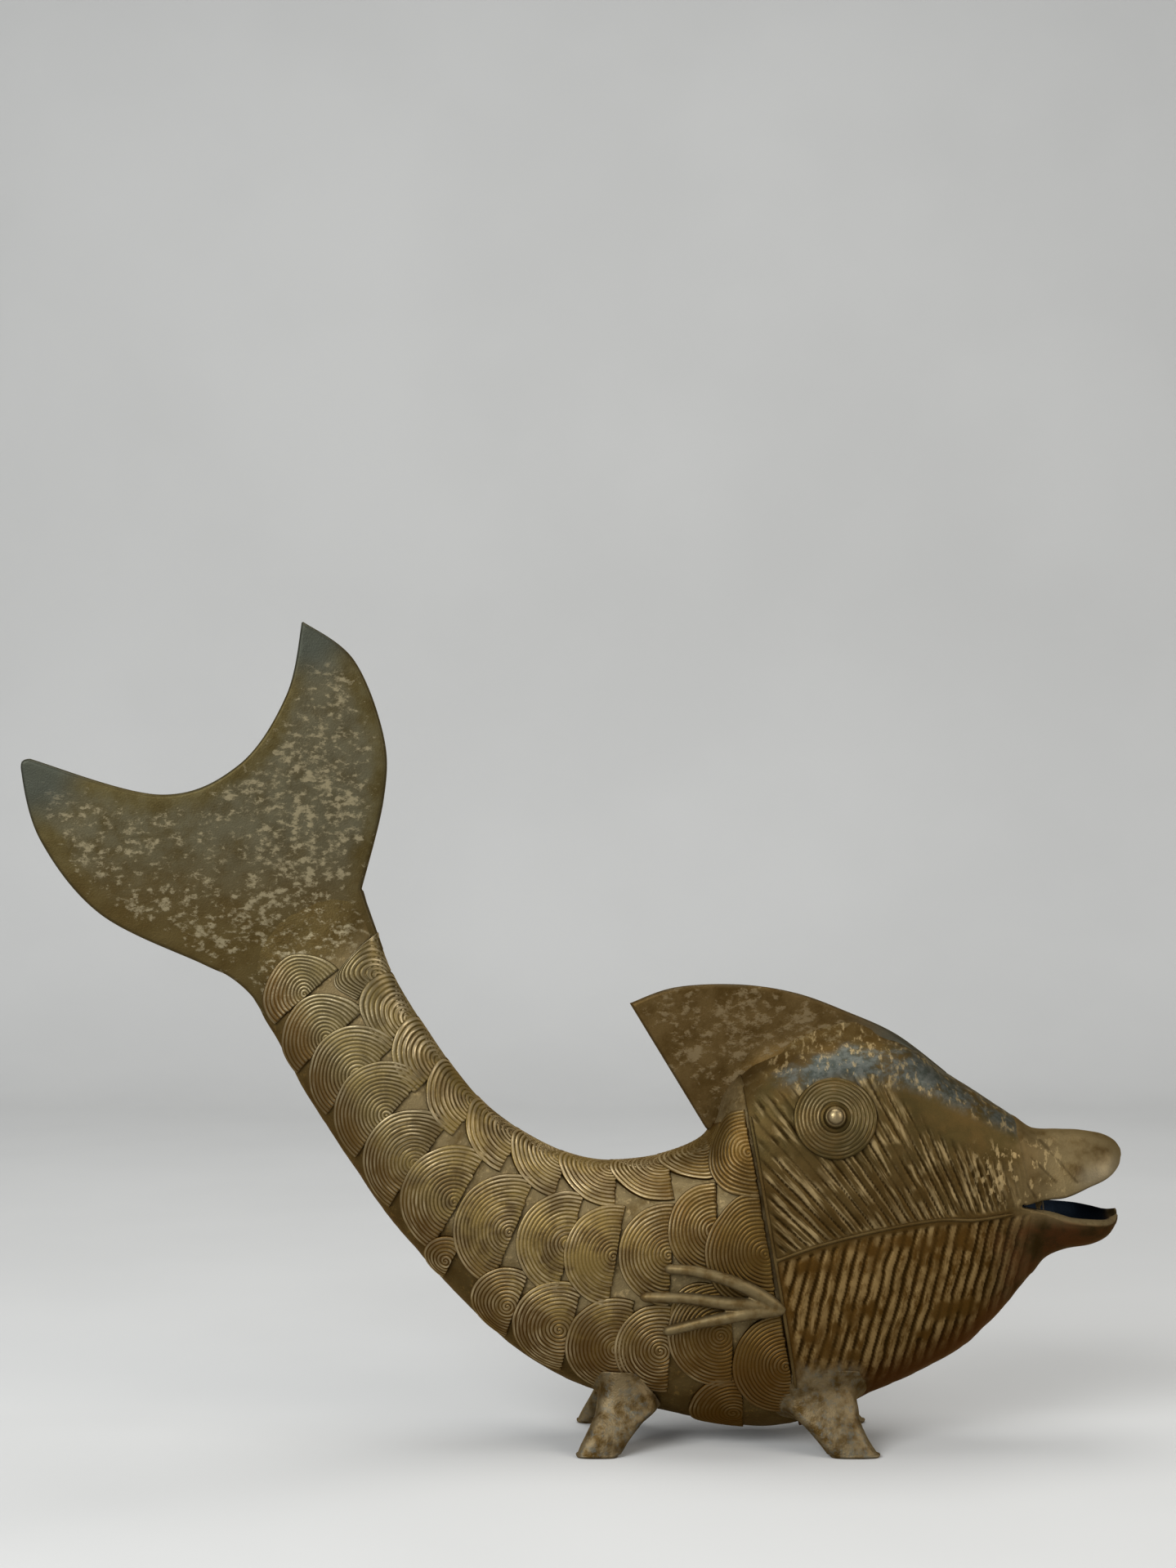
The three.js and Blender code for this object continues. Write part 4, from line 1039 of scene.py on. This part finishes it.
# lips: thick half shells that grow out of the head's front and part into a beak
lips = {
    "wall": 3.0, "rows": 22, "arc": 110, "band": 5, "bandSwell": 0.45, "lump": 0.2,
    # roots are step back from the lips, rim height and lift, sections are x, crest, rim and half width
    "upper": {"sign": 1, "bevel": 0.6, "tilt": 0.0,
              "roots": [(-7.5, 87.6, -0.6), (-5.5, 88, 0.12), (0, 89.2, 0.0)],
              "sections": [(178, 113, 90.6, 16.8), (186, 112.5, 94, 17), (193.5, 111.2, 97, 14.5),
                           (198, 108.8, 100.4, 9), (200, 106.2, 103.4, 3.5)]},
    "lower": {"sign": -1, "bevel": 2.0, "tilt": 0.8,
              "roots": [(-7.5, 86.6, -0.6), (-5.5, 86.2, 0.12), (0, 85, 0.0)],
              "sections": [(179, 69.7, 83.8, 16.5), (188, 71.4, 83, 16.3), (194, 74, 82.4, 12.5),
                           (197, 77, 82.2, 8), (198.6, 79.6, 82.4, 4.2), (199.2, 81.4, 82.8, 1.4)]},
    "scratches": [((165.5, 104.5), (174, 96)), ((169.5, 110), (181.5, 96)), ((162.5, 97), (167, 90))],
}


def lipMesh(lip):
    arc, sign = np.linspace(-1, 1, lips["arc"] + 1), lip["sign"]
    rings = []
    dense = np.linspace(0, math.pi, 2001)
    for back, rim, lift in lip["roots"]:  # on the head's skin, up to the girth where it meets the rim
        edge = np.interp(-rim, -skin(lipRun + back, dense)[:, 2], dense)
        girth = arc * edge if sign > 0 else math.pi - arc * (math.pi - edge)
        rings.append(skin(lipRun + back, girth, lift))
    across, upright = np.sin(arc * math.pi / 2), np.cos(arc * math.pi / 2)
    for x, crest, rim, half in lip["sections"]:
        rings.append(np.column_stack([np.full(len(arc), x), -half * across,
                                      rim - lip["tilt"] * across + (crest - rim) * upright]))
    flat = throughPoints(np.stack(rings).reshape(len(rings), -1), lips["rows"]).reshape(-1, len(arc), 3)
    out = np.cross(np.gradient(flat, axis=0), np.gradient(flat, axis=1))
    out /= np.linalg.norm(out, axis=-1, keepdims=True) + 1e-9
    if np.mean(np.sum(out * (flat - flat.mean(1, keepdims=True)), -1)) < 0:
        out = -out
    size = np.linalg.norm(flat[:, -1] - flat[:, 0], axis=1)[:, None, None]
    free = step(lips["rows"] * 1.5, lips["rows"] * 4, np.arange(len(flat)))[:, None]
    outer = flat + out * (lips["lump"] * lumps(flat, 7, 15) * free)[..., None]
    inner = flat - out * np.minimum(lips["wall"], size * 0.3)
    # the rim slopes outwards and its edges are worn round
    slope = np.minimum(lip["bevel"], 0.12 * size[..., 0]) * (0.3 + 0.7 * free)
    outer[..., 2] += sign * slope * step(0.86, 1.0, np.abs(arc))
    share = (np.arange(lips["band"]) + 1) / (lips["band"] + 1)
    bands = []
    for end in (-1, 0):
        band = outer[:, end, None] * (1 - share[:, None]) + inner[:, end, None] * share[:, None]
        band[..., 2] -= sign * (np.sin(share * math.pi) * lips["bandSwell"])
        bands.append(band)
    loops = np.concatenate([outer, bands[0], inner[:, ::-1], bands[1][:, ::-1]], axis=1)
    x, z = loops[..., 0], loops[..., 2]
    column = np.arange(loops.shape[1])
    inside = (column >= len(arc) + lips["band"]) & (column < 2 * len(arc) + lips["band"])
    onBand = (column >= len(arc)) & ~inside
    # the inner faces carry the painted shade of the mouth, which fades out at the tip
    marks = {"inside": inside * step(197, 194.5, x), "edge": np.tile(onBand * (sign < 0), (len(loops), 1)),
             "scratch": np.zeros_like(x), "sheen": np.zeros_like(x)}
    if sign > 0:
        for start, end in lips["scratches"]:
            way = np.subtract(end, start)
            along = np.clip(((x - start[0]) * way[0] + (z - start[1]) * way[1]) / (way @ way), 0, 1)
            gap = np.hypot(x - start[0] - along * way[0], z - start[1] - along * way[1])
            line = step(0.7, 0.25, gap + 0.4 * lumps(loops, 2.5, 27))
            marks["scratch"] = np.maximum(marks["scratch"], line)
        marks["sheen"] = step(0, 10, x - 178) * np.exp(-((z - 99 - 0.25 * (x - 190)) / 4) ** 2)
    return cappedMesh("lip", loops, marks)


place("upper_beak", lipMesh(lips["upper"]), lipMetal, "body_metal", "upper_lip")
place("lower_beak", lipMesh(lips["lower"]), lipMetal, "body_metal", "lower_lip")
print("lips done")

# feet
feet = {  # each section is height, x, half length, distance from the middle plane, half width
    "rear": [(0, 9.7, 7.6, 25, 4), (5, 12.6, 8.1, 23.4, 4.4), (11, 16.5, 8.8, 20.6, 5.2), (17, 20.5, 10.4, 16.6, 6),
             (29, 17.5, 3.2, 13.8, 6.4)],
    "front": [(0, 101, 9, 25, 4.2), (5, 97.2, 9.2, 23.2, 4.8), (11, 93.2, 10.6, 20.2, 5.6), (17, 90, 12, 16.4, 6.4),
              (30, 89, 9, 12, 6)],
    "sole": [(0, 0.9), (0.12, 0.45), (0.5, 0.15), (1.0, 0.0)], "soleTop": 1.2,  # height and inset of its worn edge
    "squareness": 0.66, "sides": 64, "steps": 24, "lump": 0.035,
    "collar": 1.2, "collarFade": 4, "sunk": 6, "sunkEnd": 2.5,
    "flare": 1.5, "flareGain": 0.5, "flareReach": 4, "rootReach": (8, 1),
    "scaleLift": 0.8, "near": {"runs": (130, 300, 1.5), "girth": 1.7, "sides": 140},
}


def bodyFinder():  # the skin's points round the feet, for finding how far a foot's point stands out
    near = feet["near"]
    runs, girths = np.meshgrid(np.arange(*near["runs"]),
                               np.linspace(near["girth"], fullTurn - near["girth"], near["sides"]), indexing="ij")
    lift = np.where(runs > gillRun, headRise(runs, girths), feet["scaleLift"])
    points = skin(runs, girths, lift).reshape(-1, 3)
    finder = KDTree(len(points))
    for i, point in enumerate(points):
        finder.insert(point, i)
    finder.balance()
    return finder, points, skinOut(runs, girths).reshape(-1, 3)


bodyTree, bodyPoints, bodyOuts = bodyFinder()


def squared(values):  # bends a circle's sine or cosine towards a square's
    return np.sign(values) * np.abs(values) ** feet["squareness"]


def footMesh(sections, side, seed):
    rows = throughPoints(sections, feet["steps"])
    height, inset = np.transpose(feet["sole"])
    sole = np.repeat(rows[:1], len(height), 0)
    sole[:, 0] = height
    sole[:, [2, 4]] -= inset[:, None]
    rows = np.vstack([sole, rows[rows[:, 0] > feet["soleTop"]]])
    height, midX, halfX, midY, halfY = np.hsplit(rows, 5)
    turn = np.arange(feet["sides"]) / feet["sides"] * fullTurn
    grid = np.stack([midX + halfX * squared(np.cos(turn)), -side * midY + halfY * squared(np.sin(turn)),
                     np.repeat(height, feet["sides"], 1)], -1)
    middle = grid.mean(1, keepdims=True)
    uneven = 1 + feet["lump"] * lumps(grid, 6, seed) * step(0.6, 4, grid[..., 2])
    grid = middle + (grid - middle) * uneven[..., None]
    nearest = [bodyTree.find(point)[1] for point in grid.reshape(-1, 3)]
    base, out = (values[nearest].reshape(grid.shape) for values in (bodyPoints, bodyOuts))
    gap = np.sum((grid - base) * out, -1, keepdims=True)
    # near the body the foot spreads along its skin and thins out there
    away = (grid - middle) * (1, 1, 0)
    away = away / np.linalg.norm(away, axis=-1, keepdims=True)
    away = away - out * np.sum(away * out, -1, keepdims=True)
    sunk = np.clip(-gap, 0, feet["sunk"])
    close = np.exp(-np.maximum(gap, 0) / feet["flareReach"])
    close = close * step(-feet["sunkEnd"] * feet["sunk"], -feet["sunk"], gap)
    rise = feet["collar"] * (1 - sunk / feet["collarFade"]) + sunk
    grid = grid + (out * rise + away * feet["flare"] * (1 + feet["flareGain"] * sunk)) * close
    root = step(*feet["rootReach"], gap[..., 0] + 2 * lumps(grid, 4, seed + 3))
    return cappedMesh("foot", grid, {"root": root})


for side, word in bothSides:
    for i, part in enumerate(("rear", "front")):
        mesh = footMesh(feet[part], side, 31 + i + side)
        place(f"{word}_{part}_leg", mesh, footMetal, "foot_metal", f"{word}_{part}_foot")
print("feet done")

# fin rays and face threads: rods that follow the skin
rods = {
    "root": (233.5, -0.28, 1.6), "lift": 4.6,  # run, rise and lift of the rays' root, and their lift further on
    "tips": [(190.5, 0.2, 6.8), (182.5, -0.03, 5.5), (191.5, -0.28, 5.5)], "tipDip": 1.2,  # run, rise and bow
    "rootRadius": 2.7, "tipRadius": 1.8, "sides": 14, "step": 0.0008, "voxel": 0.36,
    "thread": 0.65, "threadVoxel": 0.35, "threadWear": 0.4,
    "gillRise": (0.8, -0.72), "gillLift": 0.4, "mouthTo": 322, "mouthRise": (0.005, -0.107), "mouthLift": 0.3,
    "rayTaper": 0.06, "rayPoint": 0.25, "gillTaper": 0.03, "mouthTaper": 0.05, "rayRounds": 3, "threadRounds": 1,
}


def rodTree():
    tree, root, get = newTree("laidRod", {
        "Geometry": ["Geometry"], "Float": ["Start radius", "End radius", "Taper", "Point", "Step"],
        "Int": ["Sides"], "Material": ["Metal"]})
    line = root.node("GeometryNodeMeshToCurve", None, {0: get("Geometry")})
    line = root.node("GeometryNodeResampleCurve", {"mode": "LENGTH"}, {"Curve": line, "Length": get("Step")})
    share = root.node("GeometryNodeSplineParameter", None, None, "Factor")
    radius = get("Start radius") + (get("End radius") - get("Start radius")) * share
    close = ((1 - share) / get("Taper")).low(share / get("Point") + 0.05).low(1.0)
    radius = radius * root.calc("SQRT", (close * (2 - close)).high(0.02))
    ring = root.node("GeometryNodeCurvePrimitiveCircle", {"mode": "RADIUS"}, {
        "Resolution": get("Sides"), "Radius": mm})
    rod = root.node("GeometryNodeCurveToMesh", None, {
        "Curve": line, "Profile Curve": ring, "Scale": radius, "Fill Caps": True})
    closeTree(root, rod, get("Metal"))
    return tree


rodNodes = rodTree()


def rodMesh(points, start, end, taper, material, point=0.001):
    line = bpy.data.meshes.new("rod_line")
    line.from_pydata((points * mm).tolist(), [(i, i + 1) for i in range(len(points) - 1)], [])
    return treeMesh("rod", rodNodes, {
        "Start radius": start, "End radius": end, "Taper": taper, "Point": point, "Sides": rods["sides"],
        "Step": rods["step"], "Metal": material}, line)


def fused(mesh, voxel, rounds):
    holder = linked("fused", mesh)
    remesh = holder.modifiers.new("fuse", "REMESH")
    remesh.mode = "VOXEL"
    remesh.voxel_size = voxel * mm
    remesh.use_smooth_shade = True
    soften = holder.modifiers.new("soften", "SMOOTH")
    soften.iterations = rounds
    soften.factor = 0.5
    return evaluated(holder)


def rayMesh(side):
    bars = []
    share = np.linspace(0, 1, 40)
    rootRun, rootRise, rootLift = rods["root"]
    for tipRun, tipRise, bow in rods["tips"]:
        runs = blended((rootRun, tipRun), share)
        girth = np.arccos(blended((rootRise, tipRise), share))
        speed = np.linalg.norm(skinWays(runs, girth)[1], axis=1) / (2 * bodyShape["girthStep"])
        girth = side * (girth - bow * np.sin(math.pi * share) / speed)
        lift = blended((rootLift, rods["lift"]), np.minimum(1, share * 3)) - rods["tipDip"] * step(0.8, 1.0, share)
        points = skin(runs, girth) + skinOut(runs, girth) * lift[:, None]
        bars.append(rodMesh(points, rods["rootRadius"], rods["tipRadius"], rods["rayTaper"], rayMetal,
                            rods["rayPoint"]))
    return fused(joined("rays", bars), rods["voxel"], rods["rayRounds"])


def threadMesh(side):
    thick = rods["thread"]
    girth = np.arccos(np.linspace(*rods["gillRise"], 60))
    path = skin(gillRun, side * girth, headRise(gillRun, girth) + rods["gillLift"])
    strands = [rodMesh(path, thick, thick, rods["gillTaper"], headMetal)]
    runs, girth = np.linspace(gillRun, rods["mouthTo"], 80), np.arccos(np.linspace(*rods["mouthRise"], 80))
    lift = headRise(runs, girth) + rods["mouthLift"]
    path = skin(runs, side * girth) + skinOut(runs, side * girth) * lift[:, None]
    strands.append(rodMesh(path, thick, thick, rods["mouthTaper"], headMetal))
    mesh = fused(joined("threads", strands), rods["threadVoxel"], rods["threadRounds"])
    addMark(mesh, "bar", [rods["threadWear"]] * len(mesh.vertices))
    return mesh


for side, word in bothSides:
    place(f"{word}_fin_rays", rayMesh(side), rayMetal, "foot_metal", f"{word}_ray_fin")
    place(f"{word}_cheek_threads", threadMesh(side), headMetal, "body_metal", f"{word}_face_thread")
print("rays and threads done")
bpy.data.objects.remove(guide)

# stage, light and camera
studio = {
    "floorTone": (0.46, 0.46, 0.45), "paler": 1.05, "front": -2.2, "side": 2.6, "wallY": 1.35, "wallTop": 2.4,
    "bend": 0.4, "world": 0.52, "worldTone": (0.93, 0.96, 1.0, 1),
    "cameraAt": (0.0064, -0.935, 0.2386), "lens": 58.9, "sensor": 36,
    "lamps": [  # place, aim, size, watts, colour
        ((-0.8, -1.2, 0.9), (0, 0, 0.12), 0.9, 30, (0.96, 0.98, 1.0)),
        ((1.1, -0.7, 0.7), (0.05, 0, 0.1), 0.8, 9, (1.0, 0.94, 0.86)),
        ((0.0, 0.2, 1.4), (0, 0, 0.1), 0.8, 9, (1, 1, 1)),
    ],
}


def floorPiece():
    bend, wall = studio["bend"], studio["wallY"]
    curve = [(wall - bend + bend * math.sin(t), bend - bend * math.cos(t)) for t in np.linspace(0, math.pi / 2, 17)]
    profile = [(studio["front"], 0.0)] + curve + [(wall, studio["wallTop"])]
    points = [(x, y, z) for y, z in profile for x in (-studio["side"], studio["side"])]
    faces = [(2 * i, 2 * i + 1, 2 * i + 3, 2 * i + 2) for i in range(len(profile) - 1)]
    mesh = meshFrom("pale_sweep", np.array(points) / mm, faces)
    material, spot = newFinish("pale_floor")
    cloud = spot.grain(0.004, 3.0, 0.55)
    tone = studio["floorTone"]
    colour = cloud.ramp(0.3, 0.7).tint((*tone, 1), [c * studio["paler"] for c in tone] + [1])
    mesh.materials.append(closeFinish(material, colour, cloud * 0.1 + 0.8, 0.0, cloud, 0.0002, 0.1))
    sweep = linked("pale_sweep", mesh)


def buildStudio():
    floorPiece()
    scene = bpy.context.scene
    for i, (start, target, size, watts, tone) in enumerate(studio["lamps"]):
        lamp = bpy.data.lights.new(f"soft_lamp_{i}", "AREA")
        lamp.size, lamp.energy, lamp.color = size, watts, tone
        holder = linked(lamp.name, lamp)
        holder.location = start
        holder.rotation_euler = (Vector(target) - Vector(start)).to_track_quat("-Z", "Y").to_euler()
    scene.world = bpy.data.worlds.new("soft_room")
    scene.world.use_nodes = True
    scene.world.node_tree.nodes.clear()
    sky = Wire(scene.world.node_tree)
    glow = sky.node("ShaderNodeBackground", None, {"Color": studio["worldTone"], "Strength": studio["world"]})
    sky.node("ShaderNodeOutputWorld", None, {"Surface": glow})
    camera = bpy.data.cameras.new("photo_camera")
    camera.lens, camera.sensor_width, camera.clip_start = studio["lens"], studio["sensor"], 0.01
    scene.camera = linked("photo_camera", camera)
    scene.camera.location = studio["cameraAt"]
    scene.camera.rotation_euler = (math.pi / 2, 0, 0)
    scene.view_settings.view_transform = "Standard"
    print("studio done")


buildStudio()
